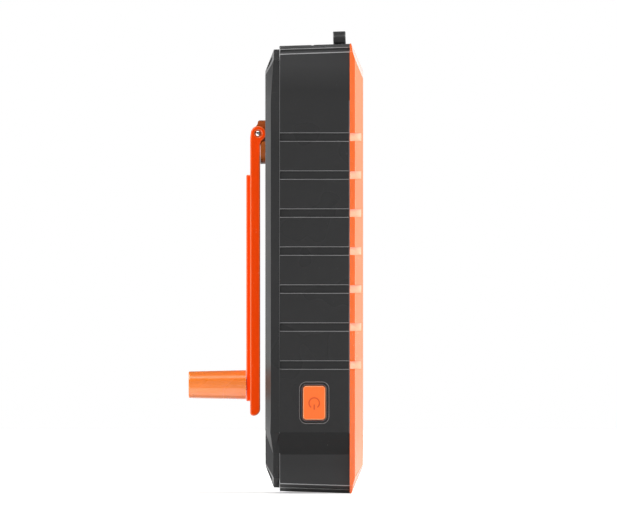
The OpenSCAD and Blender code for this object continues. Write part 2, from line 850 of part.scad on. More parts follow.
module back_cover() {
  color("dimgray") difference() {
    union() {
      difference() {
        cover_outer();
        along_y(seam_back - cut, cover_in_y) polygon(both_sides([
          [cover_boot_in_w, cover_in_end], [cover_boot_in_w, boot_h], [cover_in_w, ridge_h],
          [cover_in_w, body_h - cover_in_end]]));
      }
      rod_y(0, well_z, well_r + cup_wall, well_floor_y - cup_floor_t, back_y);
      block([-rut_w / 2 - rut_wall, rut_y - rut_wall, well_z], [rut_w / 2 + rut_wall, cover_in_y + press_gap,
        hub_z]);
      rod_y(0, hub_z, hub_well_r + rut_wall, hub_floor_y - rut_wall, back_y);
      rod_y(0, hub_z, bush_boss_r, boss_low_y, cover_in_y);
      rod_y(idler_x, idler_z, idler_boss_r, boss_low_y, cover_in_y + press_gap);
      for (p = post_places) rod_y(p[0], p[1], post_r, plate_y + plate_t, cover_in_y + press_gap);
    }
    rod_y(0, well_z, well_r, well_floor_y, back_y + cut);
    block([-rut_w / 2, rut_y, well_z], [rut_w / 2, back_y + cut, hub_z]);
    block([-bed_w / 2, bed_y, bed_low_z], [bed_w / 2, back_y + cut, hub_z]);
    rod_y(0, hub_z, hub_well_r, hub_floor_y, back_y + cut);
    rod_y(0, hub_z, bush_r + press_gap, boss_low_y - cut, back_y);
    rod_y(idler_x, idler_z, idler_shaft_r + press_gap, boss_low_y - cut, cover_in_y);
    for (p = post_places) rod_y(p[0], p[1], plate_screw_r + press_gap, plate_y, plate_y + plate_screw_len + cut);
    for (p = screw_places) {
      rod_y(p[0], p[1], screw_well_r, screw_seat_y, back_y + cut);
      rod_y(p[0], p[1], screw_r + slack, seam_back - cut, back_y);
    }
  }
}

module case_screws() {
  color("silver") for (p = screw_places)
    screw_y(p[0], screw_seat_y, p[1], screw_r, screw_len, screw_head_r, screw_head_h);
}

// Gearbox and generator

// Half of one involute tooth, as [radius, angle] from the root to the tip
function involute_angle(r, base_r) = let (t = sqrt(max(0, r * r / (base_r * base_r) - 1))) t * 180 / PI - atan(t);

function tooth(teeth) =
  let (pitch_r = gear_module * teeth / 2, base_r = pitch_r * cos(pressure_angle),
       tip_r = pitch_r + addendum_share * gear_module, root_r = pitch_r - dedendum_share * gear_module,
       half = 90 / teeth - backlash / 2 / pitch_r * 180 / PI,
       at_pitch = involute_angle(pitch_r, base_r), start_r = max(base_r, root_r))
  concat([[root_r, half + at_pitch - involute_angle(start_r, base_r)]],
    [for (i = [0:flank_steps]) let (r = start_r + (tip_r - start_r) * i / flank_steps)
      [r, half + at_pitch - involute_angle(r, base_r)]]);

function gear_outline(teeth) =
  let (flank = tooth(teeth), n = len(flank))
  [for (k = [0:teeth - 1]) let (mid = k * 360 / teeth) each concat(
    [for (i = [0:n - 1]) [flank[i][0] * cos(mid - flank[i][1]), flank[i][0] * sin(mid - flank[i][1])]],
    [for (i = [n - 1:-1:0]) [flank[i][0] * cos(mid + flank[i][1]), flank[i][0] * sin(mid + flank[i][1])]])];

// Spur gear at a place, turned so that a tooth or a gap points along its first direction
module gear_y(x, z, teeth, turn, y0, y1) {
  translate([x, 0, z]) along_y(y0, y1) rotate(turn) polygon(gear_outline(teeth));
}

module hub_bush() {
  color("peru") difference() {
    rod_y(0, hub_z, bush_r, boss_low_y, hub_floor_y);
    rod_y(0, hub_z, shaft_r + run_gap, boss_low_y - cut, hub_floor_y + cut);
  }
}

module gear_plate() {
  color("gainsboro") difference() {
    union() {
      block([post_left_x - plate_edge, plate_y, post_low_z - plate_edge],
        [post_right_x + plate_edge, plate_y + plate_t, post_left_z + plate_edge]);
      block([rotor_x - ear_plate_w / 2, plate_y, post_left_z],
        [post_right_x + plate_edge, plate_y + plate_t, post_high_z + plate_edge]);
      block([rotor_x - ear_plate_w / 2, plate_y, post_high_z],
        [rotor_x + ear_plate_w / 2, plate_y + plate_t, post_high_z + ear_plate_h]);
    }
    rod_y(0, hub_z, shaft_r + run_gap, plate_y - cut, plate_y + plate_t + cut);
    rod_y(idler_x, idler_z, idler_shaft_r + press_gap, plate_y - cut, plate_y + plate_t + cut);
    rod_y(rotor_x, rotor_z, rotor_shaft_r + free_gap, plate_y - cut, plate_y + plate_t + cut);
    for (p = post_places)
      rod_y(p[0], p[1], plate_screw_r + press_gap, plate_y - cut, plate_y + plate_t + cut);
  }
}

module plate_screws() {
  color("silver") for (p = post_places) translate([p[0], plate_y, p[1]]) rotate([0, 0, 180])
    screw_y(0, 0, 0, plate_screw_r, plate_screw_len, plate_head_r, plate_head_h);
}

module idler_shaft() {
  color("silver") rod_y(idler_x, idler_z, idler_shaft_r, plate_y, cover_in_y - slack);
}

module idler_gear() {
  wheel_top = idler_gear_y + gear_t;
  color("ivory") difference() {
    union() {
      gear_y(idler_x, idler_z, idler_teeth, rotor_angle, idler_gear_y, wheel_top);
      gear_y(idler_x, idler_z, pinion_teeth, idler_angle + 180 + 180 / pinion_teeth, wheel_top - press_gap,
        main_gear_y + gear_t + slack);
      rod_y(idler_x, idler_z, idler_skirt_r, plate_y + plate_t + slack, idler_gear_y + press_gap);
    }
    rod_y(idler_x, idler_z, idler_shaft_r + run_gap, plate_y, cover_in_y);
  }
}

module main_gear() {
  color("ivory") difference() {
    union() {
      gear_y(0, hub_z, main_teeth, idler_angle, main_gear_y, main_gear_y + gear_t);
      rod_y(0, hub_z, main_boss_r, main_gear_y - main_boss_t, main_gear_y + press_gap);
    }
    rod_y(0, hub_z, shaft_r + press_gap, main_gear_y - main_boss_t - cut, main_gear_y + gear_t + cut);
    difference() {
      rod_y(0, hub_z, main_r - rim_w, main_gear_y + web_t, main_gear_y + gear_t + cut);
      rod_y(0, hub_z, main_boss_r, main_gear_y, main_gear_y + gear_t + 2 * cut);
    }
  }
}

module hub_shaft() {
  color("silver") rod_y(0, hub_z, shaft_r, plate_y, shaft_top_y);
}

module hub_clip() {
  clip_y = main_gear_y - main_boss_t - clip_t;
  color("darkgray") difference() {
    rod_y(0, hub_z, clip_r, clip_y, clip_y + clip_t);
    rod_y(0, hub_z, shaft_r + press_gap, clip_y - cut, clip_y + clip_t + cut);
    block([-clip_gap_w / 2, clip_y - cut, hub_z - clip_r - cut], [clip_gap_w / 2, clip_y + clip_t + cut, hub_z]);
  }
}

module generator_can() {
  color("silver") difference() {
    rod_y(rotor_x, rotor_z, generator_r, can_y, plate_y);
    rod_y(rotor_x, rotor_z, generator_r - can_wall, can_y - cut, plate_y - can_wall);
    rod_y(rotor_x, rotor_z, rotor_shaft_r + run_gap, can_y, plate_y + cut);
  }
}

module generator_lid() {
  color("dimgray") difference() {
    rod_y(rotor_x, rotor_z, core_r, can_y, can_y + lid_t);
    rod_y(rotor_x, rotor_z, rotor_shaft_r + run_gap, can_y - cut, can_y + lid_t + cut);
  }
}

// Places its children round the generator's axis, once for each coil
module coil_ring() {
  for (i = [0:coil_count - 1]) translate([rotor_x, 0, rotor_z]) rotate([0, i * 360 / coil_count, 0])
    children();
}

module stator_core() {
  color("slategray") difference() {
    rod_y(rotor_x, rotor_z, core_r, core_y0, core_y1);
    rod_y(rotor_x, rotor_z, magnet_r + magnet_gap, core_y0 - cut, core_y1 + cut);
    coil_ring() block([-coil_w / 2 - press_gap, core_y0 - cut, 0],
      [coil_w / 2 + press_gap, core_y1 + cut, magnet_r + magnet_gap + coil_h]);
  }
}

module stator_coils() {
  color("chocolate") coil_ring() block([-coil_w / 2, core_y0, magnet_r + magnet_gap + slack],
    [coil_w / 2, core_y1, magnet_r + magnet_gap + coil_h - press_gap]);
}

module rotor_magnet() {
  color("darkslategray") difference() {
    rod_y(rotor_x, rotor_z, magnet_r, can_y + magnet_in, plate_y - magnet_in);
    rod_y(rotor_x, rotor_z, rotor_shaft_r + press_gap, can_y, plate_y);
  }
}

module rotor_shaft() {
  color("silver") rod_y(rotor_x, rotor_z, rotor_shaft_r, can_y, idler_gear_y + gear_t + slack);
}

module rotor_pinion() {
  color("gold") difference() {
    gear_y(rotor_x, rotor_z, pinion_teeth, rotor_angle + 180 + 180 / pinion_teeth,
      idler_gear_y + gear_t + slack - rotor_pinion_t, idler_gear_y + gear_t + slack);
    rod_y(rotor_x, rotor_z, rotor_shaft_r + press_gap, plate_y, main_gear_y);
  }
}

// Batteries

module battery_cell(y) {
  block([-cell_w / 2, y, battery_z], [cell_w / 2, y + cell_d, battery_z + cell_h]);
  block([-cell_w / 2 + fold_h, y + cell_d / 2 - fold_t / 2, battery_z + cell_h - press_gap],
    [cell_w / 2 - fold_h, y + cell_d / 2 + fold_t / 2, battery_z + cell_h + fold_t]);
}

module battery_front() {
  color("silver") battery_cell(battery_y);
}

module battery_rear() {
  color("silver") battery_cell(battery_y + cell_d + tape_t);
}

module battery_tapes() {
  color("white") for (y = [deck_y, battery_y + cell_d])
    block([-cell_w / 2 + fold_h, y, battery_z + fold_h], [cell_w / 2 - fold_h, y + tape_t,
      battery_z + cell_h - fold_h]);
}

module battery_foam() {
  color("dimgray") block([-foam_w / 2, battery_y + 2 * cell_d + tape_t, battery_z + fold_h],
    [foam_w / 2, rut_y - rut_wall, battery_z + cell_h - fold_h]);
}

// Main board, sockets and switch

module main_board() {
  color("seagreen") difference() {
    block([pcb_left, pcb_y, pcb_low], [pcb_right, pcb_back_y, pcb_high]);
    for (p = pcb_places) rod_y(p[0], p[1], pcb_screw_r + press_gap, pcb_y - cut, pcb_back_y + cut);
  }
}

module board_screws() {
  color("silver") for (p = pcb_places)
    screw_y(p[0], pcb_back_y, p[1], pcb_screw_r, pcb_t + pcb_post_h, pcb_screw_head_r, pcb_screw_head_h);
}

module usb_shell() {
  low = [usb_x - usb_w / 2, pcb_back_y, socket_top - usb_len];
  high = [usb_x + usb_w / 2, pcb_back_y + usb_d, socket_top];
  wall3 = [usb_wall, usb_wall, usb_wall];
  color("silver") difference() {
    block(low, high);
    block(low + wall3, high - wall3 + [0, 0, usb_wall + cut]);
  }
}

module usb_tongue() {
  base_z = socket_top - usb_len + usb_wall;
  color("white") {
    block([usb_x - usb_w / 2 + usb_wall, pcb_back_y + usb_wall, base_z],
      [usb_x + usb_w / 2 - usb_wall, pcb_back_y + usb_d - usb_wall, base_z + tongue_t]);
    block([usb_x - usb_w / 2 + tongue_t, usb_y + usb_d / 2 - usb_wall - 2 * tongue_t, base_z],
      [usb_x + usb_w / 2 - tongue_t, usb_y + usb_d / 2 - usb_wall - tongue_t, base_z + tongue_len]);
  }
}

module charge_socket() {
  low = [charge_x - charge_w / 2, usb_y - charge_d / 2, socket_top - charge_len];
  high = [charge_x + charge_w / 2, usb_y + charge_d / 2, socket_top];
  wall3 = [usb_wall, usb_wall, usb_wall];
  color("silver") {
    difference() {
      block(low, high);
      block(low + wall3, high - wall3 + [0, 0, usb_wall + cut]);
    }
    block([charge_x - charge_w / 4, pcb_back_y, socket_top - charge_len],
      [charge_x + charge_w / 4, low[1], socket_top - charge_len + usb_wall * 2]);
  }
}

module board_chips() {
  color("black") for (c = chip_shares)
    translate([pcb_left + c[0] * (pcb_right - pcb_left), pcb_back_y, pcb_low + c[1] * (pcb_high - pcb_low)])
      cube([c[2] * (pcb_right - pcb_left), chip_t, c[3] * (pcb_right - pcb_left)]);
}

module board_coil() {
  color("dimgray") difference() {
    rod_y(coil_x, coil_z, coil_r, pcb_back_y, pcb_back_y + coil_t);
    rod_y(coil_x, coil_z, coil_r / 2, pcb_back_y + coil_t / 2, pcb_back_y + coil_t + cut);
  }
}

module switch_board() {
  x = switch_x + switch_t;
  color("seagreen") block([x, -switch_board_d / 2, button_z - switch_board_h / 2],
    [x + switch_board_t, switch_board_d / 2, button_z + switch_board_h / 2]);
}

module tact_switch() {
  color("darkgray") difference() {
    block([switch_x, -switch_side / 2, button_z - switch_side / 2],
      [switch_x + switch_t, switch_side / 2, button_z + switch_side / 2]);
    rod_x(0, button_z, plunger_r + run_gap, switch_x - cut, switch_x + switch_t - can_wall);
  }
}

module switch_plunger() {
  color("black") rod_x(0, button_z, plunger_r, flange_x + flange_t,
    switch_x + switch_t - can_wall - button_travel - slack);
}

module power_button() {
  color("orangered") difference() {
    union() {
      along_x(-half_w - button_proud, flange_x + press_gap) translate([0, button_z])
        round_rect(button_w, button_h, button_round);
      block([flange_x, -button_w / 2 - flange_over, button_z - button_h / 2 - flange_over],
        [flange_x + flange_t, button_w / 2 + flange_over, button_z + button_h / 2 + flange_over]);
    }
    along_x(-half_w - button_proud - cut, -half_w - button_proud + icon_depth)
      translate([0, button_z - icon_drop]) {
        polygon(concat(
          arc(0, 0, icon_r + icon_line_w / 2, 270 + icon_gap_angle / 2, 630 - icon_gap_angle / 2, 3 * arc_steps),
          arc(0, 0, icon_r - icon_line_w / 2, 630 - icon_gap_angle / 2, 270 + icon_gap_angle / 2,
            3 * arc_steps)));
        translate([-icon_line_w / 2, -icon_r - icon_line_w]) square([icon_line_w, icon_r]);
      }
  }
}

// Port cover, in the frame of the top end

module cover_pin() {
  color("silver") on_top() rod_x(flap_hinge_y, -flap_hinge_r, flap_pin_r - press_gap,
    flap_x - flap_w / 2 - flap_gap - flap_pin_over, flap_x + flap_w / 2 + flap_gap + flap_pin_over);
}

module port_cover() {
  color("black") difference() {
    union() {
      on_top() {
        block([flap_x - flap_w / 2, usb_y - flap_d / 2, -flap_t],
          [flap_x + flap_w / 2, flap_hinge_y, 0]);
        rod_x(flap_hinge_y, -flap_hinge_r, flap_hinge_r, flap_x - flap_w / 2, flap_x + flap_w / 2);
        translate([flap_x - flap_tab_w / 2 + flap_gap, usb_y - flap_d / 2 - flap_tab_d, -flap_tab_t])
          cube([flap_tab_w - 2 * flap_gap, flap_tab_d + press_gap, flap_tab_t]);
        block([usb_x - usb_w / 2 + usb_wall + plug_gap, usb_y - usb_d / 2 + usb_wall + plug_gap,
            -flap_t - plug_t],
          [usb_x + usb_w / 2 - usb_wall - plug_gap, usb_y + usb_d / 2 - usb_wall - plug_gap,
            -flap_t + press_gap]);
      }
    }
    on_top() rod_x(flap_hinge_y, -flap_hinge_r, flap_pin_r + run_gap, flap_x - flap_w, flap_x + flap_w);
  }
}

// Crank

// Side outline of the hub's lower block, rounded over towards the arm's ears
module low_block_outline() {
  polygon(concat(
    [[hub_seat_y, hub_z - hub_r - cut], [hub_low_y, hub_z - hub_r - cut], [hub_low_y, blend_z - stow_gap]],
    arc(blend_y, blend_z, block_round_r, 0, block_round_end),
    [[hub_seat_y, blend_z + block_round_r * sin(block_round_end)]]));
}

// Side outline of the hub's tongue: the block, the barrel round the pin and the lower step
module tongue_outline() {
  polygon(concat(
    [[hub_seat_y, hub_z - hub_r - cut], [hub_low_y, hub_z - hub_r - cut], [hub_low_y, pin_z - barrel_r]],
    arc(pin_y, pin_z, barrel_r, barrel_start, barrel_end),
    arc(hub_top_y + tongue_fillet_r, fillet_z, tongue_fillet_r, 180 + fillet_angle, 180),
    arc(hub_top_y - tongue_round, hub_z + hub_r - slack - tongue_round, tongue_round, 0, 90),
    [[hub_seat_y, hub_z + hub_r - slack]]));
}

module crank_hub() {
  color("orangered") difference() {
    intersection() {
      rod_y(0, hub_z, hub_r, hub_seat_y, pin_y + ear_r + cut);
      union() {
        rod_y(0, hub_z, hub_r + cut, hub_seat_y, hub_seat_y + hub_disc_t);
        along_x(-hub_r - cut, hub_r + cut) low_block_outline();
        along_x(-tongue_w / 2, tongue_w / 2) tongue_outline();
      }
    }
    rod_y(0, hub_z, shaft_r + press_gap, hub_seat_y - cut, shaft_top_y);
    rod_x(pin_y, pin_z, pin_r + run_gap, -hub_r, hub_r);
    for (sx = [-1, 1]) rod_x(pin_y, pin_z, ear_r + free_gap, sx > 0 ? tongue_w / 2 : -hub_r - cut,
      sx > 0 ? hub_r + cut : -tongue_w / 2);
  }
}

// Side outline of the crank arm: ears, blend to the inner face, and the round tip
module arm_outline() {
  tip_z = pin_z - arm_len;
  polygon(concat(
    arc(pin_y, pin_z, ear_r, 180 + blend_angle, 0, 3 * arc_steps),
    [[arm_out_y, pin_z - ear_r / 2]],
    arc(arm_out_y - tip_out_r, tip_z + tip_out_r, tip_out_r, 0, -90),
    arc(arm_in_y + tip_in_r, tip_z + tip_in_r, tip_in_r, 270, 180),
    arc(blend_y, blend_z, fillet_r, 0, blend_angle)));
}

module crank_arm() {
  color("orangered") difference() {
    union() {
      along_x(-arm_w / 2, arm_w / 2) arm_outline();
      block([-spine_w / 2, arm_out_y - press_gap, pin_z - spine_end], [spine_w / 2, spine_y, pin_z - spine_start]);
    }
    block([-fork_w / 2, back_y - cut, pin_z - fork_depth], [fork_w / 2, spine_y + cut, pin_z + ear_r + cut]);
    rod_x(pin_y, pin_z, pin_r + press_gap, -arm_w, arm_w);
    rod_y(0, knob_z, axle_r + press_gap, arm_in_y - cut, spine_y + cut);
    rod_y(0, knob_z, axle_head_r + press_gap, arm_in_y - cut, arm_in_y + axle_head_t);
  }
}

module crank_pin() {
  color("silver") rod_x(pin_y, pin_z, pin_r, -arm_w / 2, arm_w / 2);
}

module knob_axle() {
  color("silver") {
    rod_y(0, knob_z, axle_head_r, arm_in_y, arm_in_y + axle_head_t);
    difference() {
      rod_y(0, knob_z, axle_r, arm_in_y + axle_head_t / 2, knob_clip_y + knob_clip_t + slack);
      difference() {
        rod_y(0, knob_z, axle_r + cut, knob_clip_y, knob_clip_y + knob_clip_t);
        rod_y(0, knob_z, axle_neck_r, knob_clip_y - cut, knob_clip_y + knob_clip_t + cut);
      }
    }
  }
}

module knob_clip() {
  color("darkgray") difference() {
    rod_y(0, knob_z, knob_clip_r, knob_clip_y, knob_clip_y + knob_clip_t);
    rod_y(0, knob_z, axle_neck_r + press_gap, knob_clip_y - cut, knob_clip_y + knob_clip_t + cut);
    block([-axle_neck_r / 2, knob_clip_y - cut, knob_z - knob_clip_r - cut],
      [axle_neck_r / 2, knob_clip_y + knob_clip_t + cut, knob_z]);
  }
}

module knob() {
  color("darkorange") difference() {
    translate([0, knob_y, knob_z]) rotate([-90, 0, 0])
      cylinder(h = knob_len, r1 = knob_root_r, r2 = knob_tip_r);
    rod_y(0, knob_z, axle_r + run_gap, knob_y - cut, knob_end_y);
    rod_y(0, knob_z, knob_cup_r, knob_end_y - knob_cup_d, knob_end_y + cut);
  }
}

module knob_cap() {
  color("darkorange") rod_y(0, knob_z, knob_cup_r - press_gap, knob_end_y - cap_t, knob_end_y);
}

front_frame();
panel_cover();
solar_cells();
panel_board();
panel_gasket();
indicator_lights();
indicator_board();
mid_shell();
case_seal();
back_cover();
case_screws();
hub_bush();
gear_plate();
plate_screws();
idler_shaft();
generator_can();
generator_lid();
stator_core();
stator_coils();
battery_front();
battery_rear();
battery_tapes();
battery_foam();
main_board();
board_screws();
usb_shell();
usb_tongue();
charge_socket();
board_chips();
board_coil();
switch_board();
tact_switch();
cover_pin();
port_cover();
power_button();
switch_plunger();
crank_hub();
hub_shaft();
main_gear();
hub_clip();
crank_arm();
crank_pin();
knob_axle();
knob_clip();
knob();
knob_cap();
idler_gear();
rotor_shaft();
rotor_magnet();
rotor_pinion();
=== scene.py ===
"""Solar power bank with a folding hand crank: finishes, edge rounding, light and camera."""
import json
from math import radians

import bmesh
import bpy
from bpy.props import FloatProperty, FloatVectorProperty, PointerProperty
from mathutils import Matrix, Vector
from mathutils.bvhtree import BVHTree

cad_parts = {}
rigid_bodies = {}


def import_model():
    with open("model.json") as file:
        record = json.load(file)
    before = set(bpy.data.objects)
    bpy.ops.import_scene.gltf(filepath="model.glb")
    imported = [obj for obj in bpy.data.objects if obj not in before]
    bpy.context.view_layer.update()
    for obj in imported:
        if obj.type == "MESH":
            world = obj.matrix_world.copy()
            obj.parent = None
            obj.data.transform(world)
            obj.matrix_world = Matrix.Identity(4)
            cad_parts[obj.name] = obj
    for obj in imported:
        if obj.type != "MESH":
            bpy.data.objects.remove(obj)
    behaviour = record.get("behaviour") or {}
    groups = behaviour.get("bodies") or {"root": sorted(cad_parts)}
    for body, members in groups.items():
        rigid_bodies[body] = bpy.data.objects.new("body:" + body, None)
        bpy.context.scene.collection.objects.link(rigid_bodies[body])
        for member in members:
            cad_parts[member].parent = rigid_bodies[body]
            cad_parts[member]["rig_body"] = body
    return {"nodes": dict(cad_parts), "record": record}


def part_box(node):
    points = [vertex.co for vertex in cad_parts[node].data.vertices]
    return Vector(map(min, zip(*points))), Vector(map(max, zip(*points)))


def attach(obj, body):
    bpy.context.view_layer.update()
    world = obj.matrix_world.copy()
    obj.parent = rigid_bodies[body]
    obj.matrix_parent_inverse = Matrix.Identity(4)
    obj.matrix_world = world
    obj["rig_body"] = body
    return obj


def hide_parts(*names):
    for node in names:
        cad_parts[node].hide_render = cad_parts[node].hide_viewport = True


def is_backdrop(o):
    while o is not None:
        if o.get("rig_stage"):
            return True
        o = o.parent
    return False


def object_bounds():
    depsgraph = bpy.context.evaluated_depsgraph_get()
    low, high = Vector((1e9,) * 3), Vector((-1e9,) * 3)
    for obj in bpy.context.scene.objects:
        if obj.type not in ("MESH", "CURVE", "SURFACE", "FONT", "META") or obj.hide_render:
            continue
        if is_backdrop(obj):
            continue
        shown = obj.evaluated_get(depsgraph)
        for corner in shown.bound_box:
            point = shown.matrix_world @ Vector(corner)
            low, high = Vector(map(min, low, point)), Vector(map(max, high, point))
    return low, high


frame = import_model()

bl_info = {
    "name": "Hand crank solar power bank",
    "version": (1, 0, 0),
    "blender": (4, 5, 0),
    "location": "View3D > Sidebar > Power bank",
    "description": "Dresses the power bank's solids and sets up its studio",
    "category": "Object",
}

CAD_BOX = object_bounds()
MM = 0.001
# Material slot of each CAD node
SLOT_OF = {part["node"]: part["material_slot"] for part in frame["record"]["subparts"]}
# Finished materials by name, filled by the finishes operator
FINISH = {}
# Faces that meet at less than this angle, in degrees, are shaded as one curve
CURVE_ANGLE = 13.0
# Rule of a zone where no edge is rounded: needed angle, share of the width, also closed in
SHARP = (181.0, 0.0, False)
# Heights of the dark sloped shoulder's lower and upper rim
SHOULDER = (13.5 * MM, 21.5 * MM)
# Along Y: where the cross grooves end, and the parting line of the shells behind them
GROOVE_END = (12.1 * MM, 12.3 * MM)
PARTING = (12.3 * MM, 12.9 * MM)
# Y and Z of the point that the middle of the picture shows
PICTURE_MIDDLE = (0.00204, 0.08085)

# Light and shade painted into a colour by height: steps of its brightness in millimetres: from, to,
# change below, change above, and how much the step rises along Y, as the slanting ends of the
# housing do
SLANT = 0.0314
# Black shell: painted light towards the top, at the eyelet, on the boot and at the bottom rim;
# painted shade at the top rim and on the sloped shoulder
SHELL_PAINTED_LIGHT = (
    (143.0, 152.0, 0.0, 0.52, 0.0),     # the side grows lighter towards the top
    (156.8, 157.2, 0.0, -1.1, SLANT),   # top rim
    (160.0, 160.4, 0.0, 0.9, SLANT),    # eyelet
    (13.4, 13.6, 0.56, 0.0, 0.0),       # boot
    (3.0, 10.0, 0.3, 0.0, 0.0),         # the boot grows lighter downwards
    (2.5, 2.8, 0.6, 0.0, -SLANT),       # bottom rim
    (21.3, 21.5, -0.32, 0.0, 0.0))      # shoulder
# Lines of the shell's rounded edges: painted highlights by height, and painted shade at the edge of
# the top face
EDGE_PAINTED_HIGHLIGHTS = (
    (155.0, 155.4, 0.0, 0.5, SLANT),    # lower line of the top rim
    (156.9, 157.2, 0.0, 1.1, SLANT),    # upper line of the top rim
    (158.3, 158.5, 0.0, -2.4, SLANT),   # edge of the top face
    (160.0, 160.4, 0.0, 0.4, SLANT),    # eyelet
    (3.2, 3.6, 1.0, 0.0, -SLANT),       # upper line of the bottom rim
    (1.7, 2.0, 3.0, 0.0, -SLANT))       # lower line of the bottom rim


def colour_property(name, description, default):
    return FloatVectorProperty(name=name, description=description, subtype="COLOR", size=3,
                               min=0.0, max=1.0, default=default)


def length_property(name, description, default):
    return FloatProperty(name=name, description=description, default=default, min=0.0,
                         unit="LENGTH", precision=5)


def share_property(name, description, default, top=1.0):
    return FloatProperty(name=name, description=description, default=default, min=0.0, max=top)


def power_property(name, description, default):
    return FloatProperty(name=name, description=description, default=default, min=0.0,
                         unit="POWER")


class HousingSettings(bpy.types.PropertyGroup):
    """Colours and edges of the housing."""
    black: colour_property("Black plastic", "Colour of the middle shell and the back cover",
                           (0.028, 0.028, 0.0285))
    # Paler than the plastic: painted highlights on the shells' rounded edges
    black_edge_highlight: colour_property("Black edges", "Colour of the rounded edges of the black shells",
                                (0.17, 0.17, 0.172))
    orange: colour_property("Frame orange", "Colour of the front frame", (0.86, 0.138, 0.015))
    # Paler than the frame: a painted reflection on the notch floors
    notch: colour_property("Notch orange", "Colour of the floors of the frame's notches",
                           (0.88, 0.35, 0.20))
    edge: length_property("Edge rounding", "Width of the rounded edges of the shells", 0.25 * MM)
    grain: length_property("Grain", "Size of the moulded grain", 0.35 * MM)


class CrankSettings(bpy.types.PropertyGroup):
    """Colours and edges of the crank."""
    orange: colour_property("Crank orange", "Colour of the arm", (1.0, 0.066, 0.0))
    # The hub's own, more yellow orange, made darker as painted shade on it
    hub: colour_property("Hub orange", "Colour of the hub that turns the gears",
                         (0.40, 0.082, 0.002))
    # Paler than the arm: painted highlights on the arm's rounded edges
    orange_edge_highlight: colour_property("Crank edges", "Colour of the arm's rounded edges",
                                 (0.95, 0.15, 0.03))
    knob: colour_property("Knob orange", "Colour of the knob", (1.0, 0.225, 0.012))
    steel: colour_property("Steel", "Colour of the pins and the shafts", (0.62, 0.61, 0.60))
    edge: length_property("Edge rounding", "Width of the arm's rounded edges", 0.45 * MM)


class PanelSettings(bpy.types.PropertyGroup):
    """Solar panel, power button and indicator lights."""
    cell: colour_property("Cell", "Colour of the solar cells", (0.006, 0.009, 0.022))
    conductor: colour_property("Conductor", "Colour of the printed silver lines",
                               (0.42, 0.43, 0.44))
    finger_pitch: length_property("Finger pitch", "Distance from one thin silver line to the next",
                                  1.3 * MM)
    finger_width: length_property("Finger width", "Width of a thin silver line", 0.07 * MM)
    bar_width: length_property("Bar width", "Width of the two collecting lines of a cell", 0.7 * MM)
    button: colour_property("Button orange", "Colour of the power button", (1.0, 0.15, 0.008))
    # Darker than the button: painted shade in the engraved symbol's recess
    symbol: colour_property("Symbol", "Colour in the engraved power symbol", (0.72, 0.085, 0.007))


class StageSettings(bpy.types.PropertyGroup):
    """Camera, floor and soft studio light."""
    distance: length_property("Camera distance", "From the camera to the side with the button",
                              7.9156)
    lens: FloatProperty(name="Lens", description="Focal length of the camera", default=1300.0,
                        min=50.0, unit="CAMERA")
    floor: share_property("Floor white", "How white the floor near the part looks", 0.42)
    fill: share_property("Sky light", "Strength of the even light from all round", 0.39, 2.0)
    mirror: share_property("Reflected dusk", "Brightness in gloss of the room behind the camera",
                           0.12)
    strip: share_property("Reflected strip", "Brightness in gloss of the high strip light",
                          5.0, 8.0)
    sides: share_property("Reflected side lights",
                          "Brightness in gloss of the slanting side lights", 16.0, 20.0)
    card: share_property("Reflected card", "Brightness in gloss of the card under the knob",
                         7.0, 20.0)
    key: power_property("Key lamp", "Power of the large soft lamp above the camera", 17.2)
    top: power_property("Top lamp", "Power of the soft lamp overhead", 5.0)
    back: power_property("Back lamp", "Power of the soft lamp on the crank's side", 10.0)
    front: power_property("Front lamp", "Power of the soft lamp on the solar side", 46.0)


# Node trees

def set_socket(tree, socket, value):
    """Gives a socket a number, a vector or a colour, or the link that feeds it."""
    if isinstance(value, bpy.types.NodeSocket):
        tree.links.new(value, socket)
    elif socket.type == "RGBA":
        socket.default_value = (*tuple(value)[:3], 1.0)
    else:
        socket.default_value = value


def put(tree, kind, inputs=None, **settings):
    """Adds a node; each input is a value or the socket that feeds it."""
    made = tree.nodes.new(kind)
    for key, value in settings.items():
        setattr(made, key, value)
    for key, value in (inputs or {}).items():
        set_socket(tree, made.inputs[key], value)
    return made


def maths(tree, operation, a, b=0.0, c=0.0):
    return put(tree, "ShaderNodeMath", {0: a, 1: b, 2: c}, operation=operation).outputs[0]


def remap(tree, value, low, high, out_low, out_high):
    return put(tree, "ShaderNodeMapRange",
               {"Value": value, "From Min": low, "From Max": high, "To Min": out_low,
                "To Max": out_high}).outputs["Result"]


def band(tree, value, centre, core, reach, strength):
    """Full strength where a value is within the core of the centre, none beyond the reach."""
    away = maths(tree, "ABSOLUTE", maths(tree, "SUBTRACT", value, centre))
    return remap(tree, away, core, reach, strength, 0.0)


def blend_colour(tree, factor, a, b):
    """Mix of two colours; a Mix node's colour sockets are its inputs 6 and 7, and output 2."""
    return put(tree, "ShaderNodeMix", {0: factor, 6: a, 7: b}, data_type="RGBA").outputs[2]


def noise(tree, place, scale, detail=2.0, roughness=0.5):
    return put(tree, "ShaderNodeTexNoise", {"Vector": place, "Scale": scale, "Detail": detail,
                                            "Roughness": roughness}).outputs[0]


def object_place(tree):
    return put(tree, "ShaderNodeTexCoord").outputs["Object"]


def new_group(name, inputs, outputs):
    """An empty shader group with named sockets: (tree, input sockets, output node)."""
    tree = bpy.data.node_groups.new(name, "ShaderNodeTree")
    for label, kind, value in inputs:
        socket = tree.interface.new_socket(label, in_out="INPUT", socket_type="NodeSocket" + kind)
        socket.default_value = value
    for label, kind in outputs:
        tree.interface.new_socket(label, in_out="OUTPUT", socket_type="NodeSocket" + kind)
    return tree, tree.nodes.new("NodeGroupInput").outputs, tree.nodes.new("NodeGroupOutput")


def group_once(build):
    """The group that a function builds, made once and named by the start of its docstring."""
    name = build.__doc__.split(":")[0]
    return bpy.data.node_groups.get(name) or build(name)


